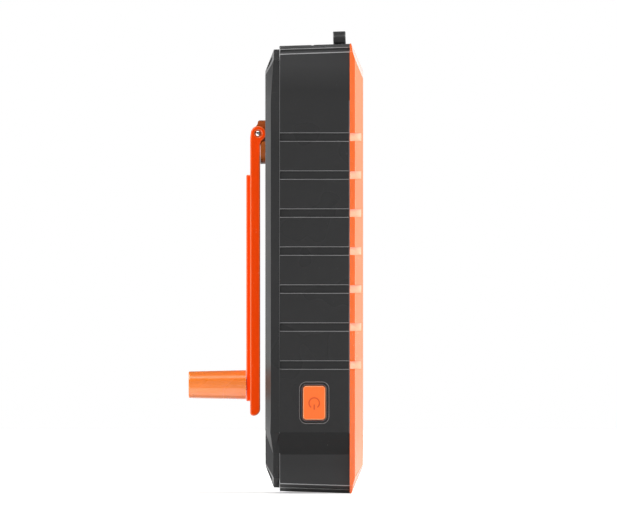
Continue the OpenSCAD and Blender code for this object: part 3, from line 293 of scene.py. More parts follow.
def moulded_grain(name):
    """Moulded grain: fine spark-eroded texture of moulded plastic."""
    tree, given, out = new_group(name, [("Size", "Float", 0.35 * MM), ("Roughness", "Float", 0.5)],
                                 [("Height", "Float"), ("Roughness", "Float")])
    place = object_place(tree)
    scale = maths(tree, "DIVIDE", 0.5, given["Size"])
    pits = noise(tree, place, scale, 3.0, 0.6)
    flow = noise(tree, place, 60.0, 1.0)
    height = maths(tree, "ADD", pits, maths(tree, "MULTIPLY", flow, 0.1))
    tree.links.new(height, out.inputs["Height"])
    rough = maths(tree, "ADD", given["Roughness"], remap(tree, flow, 0.3, 0.7, -0.05, 0.06))
    tree.links.new(rough, out.inputs["Roughness"])
    return tree


def tone_drift(name):
    """Tone drift: slow change of a colour over a moulding, with faint speckle."""
    tree, given, out = new_group(
        name, [("Colour", "Color", (0.5, 0.5, 0.5, 1.0)), ("Amount", "Float", 0.08)],
        [("Colour", "Color")])
    place = object_place(tree)
    slow = remap(tree, noise(tree, place, 22.0, 2.0), 0.3, 0.7, -1.0, 1.0)
    fine = remap(tree, noise(tree, place, 2600.0, 2.0), 0.3, 0.7, -0.6, 0.6)
    change = maths(tree, "MULTIPLY", maths(tree, "ADD", slow, fine), given["Amount"])
    bright = maths(tree, "ADD", change, 1.0)
    tint = put(tree, "ShaderNodeHueSaturation", {"Value": bright, "Color": given["Colour"]})
    tree.links.new(tint.outputs[0], out.inputs["Colour"])
    return tree


def handling_marks(name):
    """Handling marks: sparse hairline scratches and soft smudges, as a mask and a gloss change."""
    tree, given, out = new_group(name, [("Density", "Float", 0.5)],
                                 [("Mask", "Float"), ("Gloss", "Float")])
    place = object_place(tree)
    lines = []
    for turn in (0.5, 2.1, -0.8):
        mapped = put(tree, "ShaderNodeMapping", {
            "Vector": place, "Rotation": (turn, turn * 0.6, turn * 1.3),
            "Scale": (40.0, 1500.0, 900.0)})
        streak = noise(tree, mapped.outputs[0], 1.0, 1.0)
        lines.append(remap(tree, streak, 0.74, 0.78, 0.0, 1.0))
    where = remap(tree, noise(tree, place, 45.0, 2.0), 0.5, 0.66, 0.0, 1.0)
    both = maths(tree, "MAXIMUM", lines[0], maths(tree, "MAXIMUM", lines[1], lines[2]))
    mask = maths(tree, "MULTIPLY", maths(tree, "MULTIPLY", both, where), given["Density"])
    tree.links.new(mask, out.inputs["Mask"])
    smudge = remap(tree, noise(tree, place, 30.0, 1.0, 0.4), 0.2, 0.9, 0.0, -0.08)
    tree.links.new(maths(tree, "MULTIPLY", smudge, given["Density"]), out.inputs["Gloss"])
    return tree


def fine_dust(name):
    """Fine dust: pale specks that settle on a surface, as a mask."""
    tree, given, out = new_group(name, [("Amount", "Float", 0.5)], [("Mask", "Float")])
    place = object_place(tree)
    cells = put(tree, "ShaderNodeTexVoronoi", {"Vector": place, "Scale": 420.0, "Randomness": 1.0})
    dots = remap(tree, cells.outputs["Distance"], 0.03, 0.075, 1.0, 0.0)
    chance = put(tree, "ShaderNodeSeparateColor", {0: cells.outputs["Color"]}).outputs[0]
    chosen = remap(tree, chance, 0.90, 0.92, 0.0, 1.0)
    mask = maths(tree, "MULTIPLY", maths(tree, "MULTIPLY", dots, chosen), given["Amount"])
    tree.links.new(mask, out.inputs["Mask"])
    return tree


def brushed_metal(name):
    """Brushed metal: fine lines along one direction, as a height and a roughness."""
    tree, given, out = new_group(
        name, [("Stretch", "Vector", (30.0, 2500.0, 2500.0)), ("Roughness", "Float", 0.25)],
        [("Height", "Float"), ("Roughness", "Float")])
    mapped = put(tree, "ShaderNodeVectorMath", {0: object_place(tree), 1: given["Stretch"]},
                 operation="MULTIPLY").outputs[0]
    lines = noise(tree, mapped, 1.0, 3.0, 0.6)
    tree.links.new(lines, out.inputs["Height"])
    rough = maths(tree, "ADD", given["Roughness"], remap(tree, lines, 0.3, 0.7, -0.06, 0.08))
    tree.links.new(rough, out.inputs["Roughness"])
    return tree


def use_group(tree, build, **inputs):
    """Places a shader group with its own values and gives its outputs."""
    return put(tree, "ShaderNodeGroup", inputs, node_tree=group_once(build)).outputs


# Materials

def new_material(name, **constants):
    """A material with a bare Principled shader, whose constants stay on its own sockets."""
    material = bpy.data.materials.new(name)
    material.use_nodes = True
    tree = material.node_tree
    tree.nodes.clear()
    shader = tree.nodes.new("ShaderNodeBsdfPrincipled")
    out = tree.nodes.new("ShaderNodeOutputMaterial")
    tree.links.new(shader.outputs[0], out.inputs["Surface"])
    feed(tree, shader, **constants)
    return material, tree, shader


def feed(tree, shader, **sockets):
    """Sets or links sockets by name, with _ for a space."""
    for key, value in sockets.items():
        set_socket(tree, shader.inputs[key.replace("_", " ")], value)


def bump(tree, shader, height, distance, strength=1.0):
    relief = put(tree, "ShaderNodeBump",
                 {"Height": height, "Distance": distance, "Strength": strength})
    tree.links.new(relief.outputs[0], shader.inputs["Normal"])


def painted_light_by_height(tree, colour, steps):
    """A colour whose brightness changes with the height, in steps given in millimetres."""
    place = put(tree, "ShaderNodeSeparateXYZ", {0: object_place(tree)}).outputs
    value = 1.0
    for low, high, below, above, slope in steps:
        height = maths(tree, "MULTIPLY_ADD", place[1], slope, place[2])
        step = remap(tree, height, low * MM, high * MM, below, above)
        value = maths(tree, "ADD", value, step)
    return put(tree, "ShaderNodeHueSaturation", {"Value": value, "Color": colour}).outputs[0]


def moulded(name, colour, roughness, *, size, relief, drift, marks, mark_colour, dust, painted_light=(),
            **constants):
    """Moulded plastic with grain of a size and relief, drift of tone, hairline marks and dust."""
    material, tree, shader = new_material(name, **constants)
    grain = use_group(tree, moulded_grain, Size=size, Roughness=roughness)
    scuffs = use_group(tree, handling_marks, Density=marks)
    specks = use_group(tree, fine_dust, Amount=dust)
    tone = use_group(tree, tone_drift, Colour=colour, Amount=drift)
    base = painted_light_by_height(tree, tone["Colour"], painted_light) if painted_light else tone["Colour"]
    worn = blend_colour(tree, scuffs["Mask"], base, mark_colour)
    dusty = blend_colour(tree, specks["Mask"], worn, (0.35, 0.34, 0.32))
    gloss = maths(tree, "ADD", grain["Roughness"], scuffs["Gloss"])
    feed(tree, shader, Base_Color=dusty, Roughness=gloss)
    bump(tree, shader, grain["Height"], relief)
    return material


def metal(name, colour, roughness, stretch, relief=0.004 * MM, drift=0.05):
    """Machined or drawn metal with fine lines along one direction."""
    material, tree, shader = new_material(name, Metallic=1.0)
    lines = use_group(tree, brushed_metal, Stretch=stretch, Roughness=roughness)
    tone = use_group(tree, tone_drift, Colour=colour, Amount=drift)
    feed(tree, shader, Base_Color=tone["Colour"], Roughness=lines["Roughness"])
    bump(tree, shader, lines["Height"], relief)
    return material


def stripes(tree, place, axis, pitch, width, offset=0.0):
    """1 on thin lines square to one axis, 0 between them."""
    along = put(tree, "ShaderNodeSeparateXYZ", {0: place}).outputs[axis]
    shifted = maths(tree, "SUBTRACT", along, offset)
    wave = maths(tree, "PINGPONG", shifted, pitch / 2)
    return remap(tree, wave, width / 2, width / 2 + 0.02 * MM, 1.0, 0.0)


def solar_cell(settings):
    """Dark silicon with printed silver fingers and two collecting bars on each cell."""
    material, tree, shader = new_material("Solar_cell", Coat_Weight=0.6, Coat_Roughness=0.06)
    low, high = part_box("solar_cells")
    place = object_place(tree)
    gap = 1.0 * MM
    column = (high[0] - low[0] + gap) / 2
    fingers = stripes(tree, place, 2, settings.finger_pitch, settings.finger_width, low[2])
    bars = stripes(tree, place, 0, column / 2, settings.bar_width, low[0] - gap / 2 + column / 4)
    silver = maths(tree, "MAXIMUM", fingers, bars)
    shimmer = noise(tree, place, 35.0, 3.0)
    tone = use_group(tree, tone_drift, Colour=settings.cell, Amount=0.08)
    bluish = blend_colour(tree, remap(tree, shimmer, 0.4, 0.65, 0.0, 0.5), tone["Colour"],
                          (0.012, 0.018, 0.045))
    feed(tree, shader, Base_Color=blend_colour(tree, silver, bluish, settings.conductor),
         Roughness=remap(tree, silver, 0.0, 1.0, 0.22, 0.42),
         Metallic=remap(tree, silver, 0.0, 1.0, 0.0, 0.8))
    bump(tree, shader, silver, 0.002 * MM)
    return material


def clear_cover():
    """Clear hard-coated sheet over the cells, with faint wipe marks."""
    material, tree, shader = new_material("Clear_cover", IOR=1.49, Transmission_Weight=1.0)
    scuffs = use_group(tree, handling_marks, Density=0.5)
    tone = use_group(tree, tone_drift, Colour=(0.97, 0.98, 0.98), Amount=0.01)
    feed(tree, shader, Base_Color=tone["Colour"],
         Roughness=remap(tree, scuffs["Mask"], 0.0, 1.0, 0.03, 0.16))
    return material


def light_guide():
    """Milky plastic of the four charge lights."""
    material, tree, shader = new_material("Light_guide", Subsurface_Weight=0.4,
                                          Subsurface_Radius=(0.002, 0.002, 0.002), IOR=1.49)
    grain = use_group(tree, moulded_grain, Size=0.2 * MM, Roughness=0.32)
    tone = use_group(tree, tone_drift, Colour=(0.82, 0.84, 0.84), Amount=0.05)
    feed(tree, shader, Base_Color=tone["Colour"], Roughness=grain["Roughness"])
    bump(tree, shader, grain["Height"], 0.006 * MM)
    return material


def circuit_board():
    """Green solder mask with copper tracks under it and tinned pads."""
    material, tree, shader = new_material("Circuit_board", Coat_Weight=0.3, Coat_Roughness=0.2)
    place = object_place(tree)
    flat = put(tree, "ShaderNodeMapping", {"Vector": place, "Rotation": (radians(90), 0, 0)})
    tracks = put(tree, "ShaderNodeTexBrick", {
        "Vector": flat.outputs[0], "Scale": 260.0, "Mortar Size": 0.06, "Mortar Smooth": 0.2,
        "Color1": (0, 0, 0), "Color2": (0, 0, 0), "Mortar": (1, 1, 1)})
    line = put(tree, "ShaderNodeSeparateColor", {0: tracks.outputs["Color"]}).outputs[0]
    dots = put(tree, "ShaderNodeTexVoronoi", {"Vector": place, "Scale": 330.0, "Randomness": 0.55})
    pads = remap(tree, dots.outputs["Distance"], 0.12, 0.16, 1.0, 0.0)
    tone = use_group(tree, tone_drift, Colour=(0.010, 0.085, 0.035), Amount=0.12)
    tracked = blend_colour(tree, maths(tree, "MULTIPLY", line, 0.8), tone["Colour"],
                           (0.03, 0.20, 0.07))
    feed(tree, shader, Base_Color=blend_colour(tree, pads, tracked, (0.62, 0.60, 0.55)),
         Metallic=maths(tree, "MULTIPLY", pads, 0.9),
         Roughness=remap(tree, pads, 0.0, 1.0, 0.38, 0.28))
    bump(tree, shader, maths(tree, "ADD", line, pads), 0.03 * MM)
    return material


def layered(name, colour, gap_colour, axis, pitch, roughness, metallic, relief):
    """Layers or turns stacked along one axis: wire of a coil, sheets of an iron core."""
    material, tree, shader = new_material(name, Metallic=metallic)
    lines = stripes(tree, object_place(tree), axis, pitch, pitch * 0.22)
    tone = use_group(tree, tone_drift, Colour=colour, Amount=0.12)
    grain = use_group(tree, moulded_grain, Size=0.3 * MM, Roughness=roughness)
    feed(tree, shader, Base_Color=blend_colour(tree, lines, tone["Colour"], gap_colour),
         Roughness=grain["Roughness"])
    bump(tree, shader, maths(tree, "SUBTRACT", 1.0, lines), relief)
    return material


def cell_foil():
    """Silver pouch foil of the battery cells, slightly crinkled."""
    material, tree, shader = new_material("Cell_foil", Metallic=0.9)
    place = object_place(tree)
    crinkle = noise(tree, place, 110.0, 5.0, 0.55)
    lines = use_group(tree, brushed_metal, Stretch=(200.0, 900.0, 900.0), Roughness=0.34)
    tone = use_group(tree, tone_drift, Colour=(0.60, 0.61, 0.63), Amount=0.06)
    feed(tree, shader, Base_Color=tone["Colour"], Roughness=lines["Roughness"])
    bump(tree, shader, crinkle, 0.25 * MM, 0.6)
    return material


def open_foam(name, colour, scale, depth):
    """Cellular foam or fibrous tape, from its pores' size and depth."""
    material, tree, shader = new_material(name, Sheen_Weight=0.2)
    pores = put(tree, "ShaderNodeTexVoronoi", {"Vector": object_place(tree), "Scale": scale},
                feature="SMOOTH_F1")
    # Darker towards the pores' middles: painted shade in the pores
    wall = remap(tree, pores.outputs["Distance"], 0.1, 0.7, 0.55, 1.1)
    tone = use_group(tree, tone_drift, Colour=colour, Amount=0.1)
    shade = put(tree, "ShaderNodeHueSaturation", {"Value": wall, "Color": tone["Colour"]})
    grain = use_group(tree, moulded_grain, Size=0.4 * MM, Roughness=0.88)
    feed(tree, shader, Base_Color=shade.outputs[0], Roughness=grain["Roughness"])
    bump(tree, shader, pores.outputs["Distance"], depth)
    return material


def finishes():
    """Every finish by name: the record's slots, and those of single faces and pieces."""
    scene = bpy.context.scene
    house, crank, panel = scene.bank_housing, scene.bank_crank, scene.bank_panel
    grain = house.grain
    return {
        "black_plastic": moulded(
            "Black_plastic", house.black, 0.33, size=grain, relief=0.022 * MM, drift=0.10,
            marks=0.35, mark_colour=(0.09, 0.09, 0.09), dust=0.35, Specular_IOR_Level=0.12),
        # The shell's black, with light and shade painted by height
        "shell_plastic_painted_light": moulded(
            "Shell_plastic_painted_light", house.black, 0.3, size=grain, relief=0.02 * MM, drift=0.012,
            marks=0.2, mark_colour=(0.09, 0.09, 0.09), dust=0.25, painted_light=SHELL_PAINTED_LIGHT,
            Specular_IOR_Level=0.12),
        # Rounded edges of the black shell: a paler colour as painted highlights
        "black_edge_highlight": moulded(
            "Black_edge_highlight", house.black_edge_highlight, 0.42, size=grain, relief=0.01 * MM, drift=0.15,
            marks=0.3, mark_colour=(0.2, 0.2, 0.2), dust=0.0, painted_light=EDGE_PAINTED_HIGHLIGHTS,
            Specular_IOR_Level=0.4),
        "frame_orange": moulded(
            "Frame_orange", house.orange, 0.22, size=0.6 * MM, relief=0.006 * MM, drift=0.03,
            marks=0.3, mark_colour=(1.0, 0.42, 0.2), dust=0.15, Specular_IOR_Level=0.5,
            Coat_Weight=0.7, Coat_Roughness=0.08),
        # The notch floors: the frame's orange made paler as a painted reflection
        "notch_painted_reflection": moulded(
            "Notch_painted_reflection", house.notch, 0.22, size=0.6 * MM, relief=0.006 * MM, drift=0.03,
            marks=0.2, mark_colour=(1.0, 0.6, 0.4), dust=0.1, Specular_IOR_Level=0.5,
            Coat_Weight=0.7, Coat_Roughness=0.08),
        "crank_orange": moulded(
            "Crank_orange", crank.orange, 0.3, size=0.5 * MM, relief=0.010 * MM, drift=0.04,
            marks=0.35, mark_colour=(0.9, 0.3, 0.14), dust=0.2, Specular_IOR_Level=0.04),
        # The hub: its own orange, darkened as painted shade
        "hub_orange_and_shade": moulded(
            "Hub_orange_and_shade", crank.hub, 0.34, size=0.5 * MM, relief=0.010 * MM, drift=0.06,
            marks=0.35, mark_colour=(0.9, 0.4, 0.14), dust=0.2, Specular_IOR_Level=0.25),
        # The arm's rounded edges: a paler orange as painted highlights
        "crank_edge_highlight": moulded(
            "Crank_edge_highlight", crank.orange_edge_highlight, 0.3, size=0.5 * MM, relief=0.006 * MM, drift=0.04,
            marks=0.2, mark_colour=(1.0, 0.5, 0.3), dust=0.0),
        "knob_orange": moulded(
            "Knob_orange", crank.knob, 0.28, size=0.5 * MM, relief=0.008 * MM, drift=0.02,
            marks=0.05, mark_colour=(1.0, 0.5, 0.25), dust=0.2, Coat_Weight=0.35,
            Coat_Roughness=0.2),
        "button_orange": moulded(
            "Button_orange", panel.button, 0.4, size=0.3 * MM, relief=0.008 * MM, drift=0.03,
            marks=0.2, mark_colour=(1.0, 0.4, 0.2), dust=0.1),
        # The button's rounded edges: a cream colour as painted highlights
        "button_edge_highlight": moulded(
            "Button_edge_highlight", (1.0, 0.55, 0.28), 0.3, size=0.3 * MM, relief=0.004 * MM, drift=0.03,
            marks=0.0, mark_colour=(1.0, 0.6, 0.4), dust=0.0),
        # The symbol's recess: a darker orange as painted shade
        "symbol": moulded(
            "Symbol_recess_shade", panel.symbol, 0.55, size=0.3 * MM, relief=0.008 * MM, drift=0.05,
            marks=0.0, mark_colour=(0.3, 0.1, 0.05), dust=0.0),
        "black_rubber": moulded(
            "Black_rubber", (0.016, 0.016, 0.017), 0.68, size=0.22 * MM, relief=0.02 * MM,
            drift=0.12, marks=0.25, mark_colour=(0.07, 0.07, 0.07), dust=0.7,
            Specular_IOR_Level=0.3),
        "black_chip": moulded(
            "Black_chip", (0.018, 0.018, 0.018), 0.6, size=0.15 * MM, relief=0.012 * MM,
            drift=0.08, marks=0.1, mark_colour=(0.1, 0.1, 0.1), dust=0.3),
        "gear_plastic": moulded(
            "Gear_plastic", (0.66, 0.63, 0.53), 0.42, size=0.5 * MM, relief=0.012 * MM,
            drift=0.04, marks=0.3, mark_colour=(0.5, 0.47, 0.4), dust=0.5,
            Subsurface_Weight=0.1),
        "steel": metal("Steel", crank.steel, 0.22, (2500.0, 30.0, 2500.0)),
        "polished_steel": metal("Polished_steel", (0.88, 0.88, 0.87), 0.1, (60.0, 900.0, 900.0),
                                relief=0.0005 * MM, drift=0.03),
        "plated_steel": metal("Plated_steel", (0.70, 0.70, 0.69), 0.26, (400.0, 400.0, 2200.0)),
        "brass": metal("Brass", (0.72, 0.50, 0.19), 0.3, (2200.0, 60.0, 2200.0)),
        "clear_cover": clear_cover(),
        "solar_cell": solar_cell(panel),
        "circuit_board": circuit_board(),
        "light_guide": light_guide(),
        "cell_foil": cell_foil(),
        "adhesive_tape": open_foam("Adhesive_tape", (0.70, 0.69, 0.64), 1500.0, 0.02 * MM),
        "foam": open_foam("Foam", (0.045, 0.045, 0.048), 1400.0, 0.12 * MM),
        "copper_wire": layered("Copper_wire", (0.60, 0.20, 0.07), (0.10, 0.03, 0.01), axis=1,
                               pitch=0.28 * MM, roughness=0.3, metallic=0.85, relief=0.08 * MM),
        "iron_core": layered("Iron_core", (0.20, 0.20, 0.21), (0.04, 0.04, 0.04), axis=1,
                             pitch=0.5 * MM, roughness=0.42, metallic=0.9, relief=0.03 * MM),
    }


# Modelling helpers

def pick(piece):
    """Selects one object and nothing else, and makes it active."""
    bpy.ops.object.select_all(action="DESELECT")
    piece.select_set(True)
    bpy.context.view_layer.objects.active = piece


def merged_copy(node, name):
    """A copy of a CAD node's mesh with closed seams and no shading, left selected and active."""
    piece = bpy.data.objects.new(name, frame["nodes"][node].data.copy())
    piece.data.name = name
    bpy.context.scene.collection.objects.link(piece)
    piece.data.materials.clear()
    pick(piece)
    bpy.ops.mesh.customdata_custom_splitnormals_clear()
    bpy.ops.object.mode_set(mode="EDIT")
    bpy.ops.mesh.select_all(action="SELECT")
    bpy.ops.mesh.remove_doubles(threshold=0.002 * MM)
    bpy.ops.mesh.normals_make_consistent(inside=False)
    bpy.ops.object.mode_set(mode="OBJECT")
    return piece


def surfaces(nodes):
    """The surfaces of several CAD nodes, to tell outer edges from those inside."""
    points, faces = [], []
    for node in nodes:
        mesh = frame["nodes"][node].data
        start = len(points)
        points += [v.co.copy() for v in mesh.vertices]
        faces += [[start + i for i in face.vertices] for face in mesh.polygons]
    return BVHTree.FromPolygons(points, faces)


def inside(point, low, high):
    """Whether a point lies in the box between two corners."""
    return all(low[i] <= point[i] <= high[i] for i in range(3))


def mark_outer_edges(piece, angle, around, zones):
    """Marks the convex edges sharper than an angle that look out on open air.

    The weight is the share of the full rounding. A zone is a box with its own rule: lowest
    corner, highest corner, angle, share, and whether closed-in edges are marked too.
    """
    solid = surfaces(around)
    lift, reach = 0.03 * MM, 50 * MM
    mesh = bmesh.new()
    mesh.from_mesh(piece.data)
    weight = mesh.edges.layers.float.new("bevel_weight_edge")
    for edge in mesh.edges:
        if len(edge.link_faces) != 2 or not edge.is_convex:
            continue
        outward = (edge.link_faces[0].normal + edge.link_faces[1].normal).normalized()
        middle = (edge.verts[0].co + edge.verts[1].co) / 2
        here = [zone[2:] for zone in zones if inside(middle, zone[0], zone[1])]
        needed, share, closed_in = here[0] if here else (angle, 1.0, False)
        if edge.calc_face_angle(0.0) < radians(needed):
            continue
        if closed_in or solid.ray_cast(middle + outward * lift, outward, reach)[0] is None:
            edge[weight] = share
    mesh.to_mesh(piece.data)
    mesh.free()


def round_edges(piece, width, angle, around, segments, zones):
    """Rounds the outer edges; the rounding takes the second material of a piece that has one."""
    mark_outer_edges(piece, angle, around, zones)
    rounding = piece.modifiers.new("Edge rounding", "BEVEL")
    rounding.width = width
    rounding.segments = segments
    rounding.limit_method = "WEIGHT"
    rounding.use_clamp_overlap = False
    rounding.loop_slide = False
    # The second material of the shell, the arm and the button is a paler colour: painted highlights
    # on their rounded edges
    rounding.material = 1 if len(piece.data.materials) > 1 else 0
    bpy.ops.object.modifier_apply(modifier=rounding.name)
    even = piece.modifiers.new("Even shading", "WEIGHTED_NORMAL")
    even.keep_sharp = True
    bpy.ops.object.modifier_apply(modifier=even.name)


def dressed(node, name, slots, width, angle=25.0, around=(), segments=2, zones=()):
    """The finished piece that stands for one node, on the node's own body."""
    piece = merged_copy(node, name)
    for slot in slots:
        piece.data.materials.append(FINISH[slot])
    bpy.ops.object.shade_smooth_by_angle(angle=radians(min(angle, CURVE_ANGLE)))
    round_edges(piece, width, angle, around or (node,), segments, zones)
    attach(piece, frame["nodes"][node]["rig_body"])
    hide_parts(node)
    return piece


def coat_nodes(*nodes):
    """Gives CAD nodes that keep their own shape the material of their slot."""
    for node in nodes:
        mesh = frame["nodes"][node].data
        mesh.materials.clear()
        mesh.materials.append(FINISH[SLOT_OF[node]])


class BANK_OT_finishes(bpy.types.Operator):
    """Make the plastics, metals and board finishes that the pieces share"""
    bl_idname = "bank.finishes"
    bl_label = "Finishes"

    def execute(self, context):
        FINISH.update(finishes())
        return {"FINISHED"}


class BANK_OT_housing(bpy.types.Operator):
    """Front frame, middle shell and back cover with their rounded edges"""
    bl_idname = "bank.housing"
    bl_label = "Housing"

    def execute(self, context):
        edge = context.scene.bank_housing.edge
        shells = ("front_frame", "mid_shell", "back_cover")
        low, high = CAD_BOX
        shell_low, shell_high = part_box("mid_shell")
        foot, top = SHOULDER
        rim, above, near, cover_depth = 4.5 * MM, 1000 * MM, 0.6 * MM, 4.9 * MM
        corners_only, light_share = 30.0, 0.72
        shoulder = ((low[0], low[1], foot), (high[0], high[1], top), *SHARP)
        eyelet = ((low[0], low[1], shell_high[2] - rim), (high[0], high[1], high[2] + above),
                  corners_only, 1.0, False)
        parting = [((side - near, PARTING[0], top), (side + near, PARTING[1], high[2]),
                    corners_only, light_share, True) for side in (shell_low[0], shell_high[0])]
        groove_ends = ((low[0], GROOVE_END[0], top), (high[0], GROOVE_END[1], high[2]), *SHARP)
        seam = (low, (high[0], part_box("back_cover")[1][1] - cover_depth, high[2]), *SHARP)
        front = dressed("front_frame", "Front_frame",
                        ("frame_orange", "frame_orange", "notch_painted_reflection"), edge * 0.4,
                        angle=11.0, around=shells)
        for face in front.data.polygons:
            # The floors of the notches face forwards and to one side, at 40 to 50 degrees; they
            # take the paler notch colour as a painted reflection
            across, back, up = face.normal
            if 0.6 < abs(across) < 0.78 and back < -0.6 and abs(up) < 0.1:
                face.material_index = 2
        dressed("mid_shell", "Middle_shell", ("shell_plastic_painted_light", "black_edge_highlight"), edge, angle=9.5,
                around=shells, zones=(shoulder, eyelet, groove_ends, *parting))
        dressed("back_cover", "Back_cover", ("black_plastic",), edge * 0.6, angle=11.0,
                around=shells, zones=(seam,))
        return {"FINISHED"}


class BANK_OT_fasteners(bpy.types.Operator):
    """Screws, seal and hinge pins of the housing"""
    bl_idname = "bank.fasteners"
    bl_label = "Fasteners"

    def execute(self, context):
        dressed("case_screws", "Case_screws", ("plated_steel",), 0.12 * MM)
        coat_nodes("case_seal", "plate_screws", "board_screws", "cover_pin")
        return {"FINISHED"}


class BANK_OT_panel(bpy.types.Operator):
    """Solar panel and charge lights"""
    bl_idname = "bank.panel"
    bl_label = "Solar panel"

    def execute(self, context):
        coat_nodes("panel_cover", "solar_cells", "panel_board", "panel_gasket", "indicator_lights",
                   "indicator_board")
        return {"FINISHED"}


class BANK_OT_button(bpy.types.Operator):
    """Power button with its engraved symbol, and its switch"""
    bl_idname = "bank.button"
    bl_label = "Power button"

    def execute(self, context):
        low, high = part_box("power_button")
        rim = 1.2 * MM
        start = (low[0] - rim, low[1] + rim, low[2] + rim)
        end = (high[0], high[1] - rim, high[2] - rim)
        # The button's rounded edges take the cream edge colour, painted highlights
        button = dressed("power_button", "Power_button",
                         ("button_orange", "button_edge_highlight", "symbol"), 0.16 * MM, angle=30.0,
                         zones=((start, end, *SHARP),))
        # Faces in the symbol's recess take the darker symbol colour, painted shade
        shallow, deep = low[0] + 0.02 * MM, low[0] + 0.3 * MM
        for face in button.data.polygons:
            if inside(face.center, (shallow, *start[1:]), (deep, *end[1:])):
                face.material_index = 2
        coat_nodes("switch_plunger", "tact_switch", "switch_board")
        return {"FINISHED"}


class BANK_OT_ports(bpy.types.Operator):
    """Rubber port cover and the sockets under it"""
    bl_idname = "bank.ports"
    bl_label = "Ports"

    def execute(self, context):
        dressed("port_cover", "Port_cover", ("black_rubber",), 0.2 * MM)
        coat_nodes("usb_shell", "usb_tongue", "charge_socket")
        return {"FINISHED"}


class BANK_OT_crank(bpy.types.Operator):
    """Hub, hinge pin and arm of the crank"""
    bl_idname = "bank.crank"
    bl_label = "Crank"

    def execute(self, context):
        edge = context.scene.bank_crank.edge
        low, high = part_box("crank_hub")
        half = 3.2 * MM
        tongue = ((-half, low[1], low[2]), (half, high[1], high[2]), *SHARP)
        # The hub's colour is darkened as painted shade
        dressed("crank_hub", "Crank_hub", ("hub_orange_and_shade",), 0.2 * MM, zones=(tongue,))
        # The arm's rounded edges take the paler edge colour, painted highlights
        dressed("crank_arm", "Crank_arm", ("crank_orange", "crank_edge_highlight"), edge, segments=3)
        dressed("crank_pin", "Hinge_pin", ("polished_steel",), 0.75 * MM, segments=6)
        coat_nodes("hub_shaft")
        return {"FINISHED"}


class BANK_OT_knob(bpy.types.Operator):
    """Knob with its cap, axle and clip"""
    bl_idname = "bank.knob"
    bl_label = "Knob"

    def execute(self, context):
        low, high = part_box("knob")
        collar = 0.5 * MM
        foot = (low, (high[0], low[1] + collar, high[2]), *SHARP)
        dressed("knob", "Knob", ("knob_orange",), 0.4 * MM, segments=3, zones=(foot,))
        dressed("knob_cap", "Knob_cap", ("knob_orange",), 0.15 * MM)
        coat_nodes("knob_axle", "knob_clip")
        return {"FINISHED"}


class BANK_OT_drive(bpy.types.Operator):
    """Gears and generator"""
    bl_idname = "bank.drive"
    bl_label = "Gears and generator"

    def execute(self, context):
        coat_nodes("hub_bush", "gear_plate", "idler_shaft", "generator_can", "generator_lid",
                   "stator_core", "stator_coils", "main_gear", "hub_clip", "idler_gear",
                   "rotor_shaft", "rotor_magnet", "rotor_pinion")
        return {"FINISHED"}


class BANK_OT_electronics(bpy.types.Operator):
    """Batteries and main board"""
    bl_idname = "bank.electronics"
    bl_label = "Batteries and board"

    def execute(self, context):
        coat_nodes("battery_front", "battery_rear", "battery_tapes", "battery_foam", "main_board",
                   "board_chips", "board_coil")
        return {"FINISHED"}


def soft_lamp(name, place, target, width, power):
    """A square lamp that lights the part and isn't mirrored in it: the world's lights are."""
    data = bpy.data.lights.new(name, "AREA")
    data.shape = "SQUARE"
    data.size = width
    data.energy = power
    lamp = bpy.data.objects.new(name, data)
    lamp.visible_glossy = False
    lamp.location = place
    lamp.rotation_euler = (Vector(target) - Vector(place)).to_track_quat("-Z", "Y").to_euler()
    bpy.context.scene.collection.objects.link(lamp)


def floor_finish(settings):
    """White floor that keeps the part's shadow, with a card under the knob in reflections."""
    material, tree, shader = new_material("Floor_white", Base_Color=(0.78, 0.78, 0.78),
                                          Roughness=0.9, Specular_IOR_Level=0.1,
                                          Emission_Color=(1.0, 1.0, 1.0))
    seen = put(tree, "ShaderNodeLightPath").outputs
    # The floor's own glow grows to full white away from the part, so the shadow stays near it
    away = put(tree, "ShaderNodeVectorMath", {0: object_place(tree)}, operation="LENGTH")
    pale = remap(tree, away.outputs[1], 0.1, 0.8, settings.floor, 1.0)
    place = put(tree, "ShaderNodeSeparateXYZ", {0: object_place(tree)}).outputs
    # In gloss it is dim straight in front of the part, and bright beside and behind it
    beside = remap(tree, maths(tree, "ABSOLUTE", place[1]), 0.016, 0.03, 0.1, 1.0)
    behind = remap(tree, place[0], 0.04, 0.4, 0.0, 1.0)
    card = maths(tree, "MULTIPLY", band(tree, place[0], -0.035, 0.03, 0.045, settings.card),
                 remap(tree, place[1], 0.02, 0.026, 0.0, 1.0))
    lit = maths(tree, "ADD", maths(tree, "MAXIMUM", beside, behind), card)
    mirrored = maths(tree, "MULTIPLY", seen["Is Glossy Ray"], lit)
    shown = maths(tree, "MAXIMUM", seen["Is Camera Ray"],
                  maths(tree, "MAXIMUM", seen["Is Transmission Ray"], mirrored))
    feed(tree, shader, Emission_Strength=maths(tree, "MULTIPLY", shown, pale))
    return material


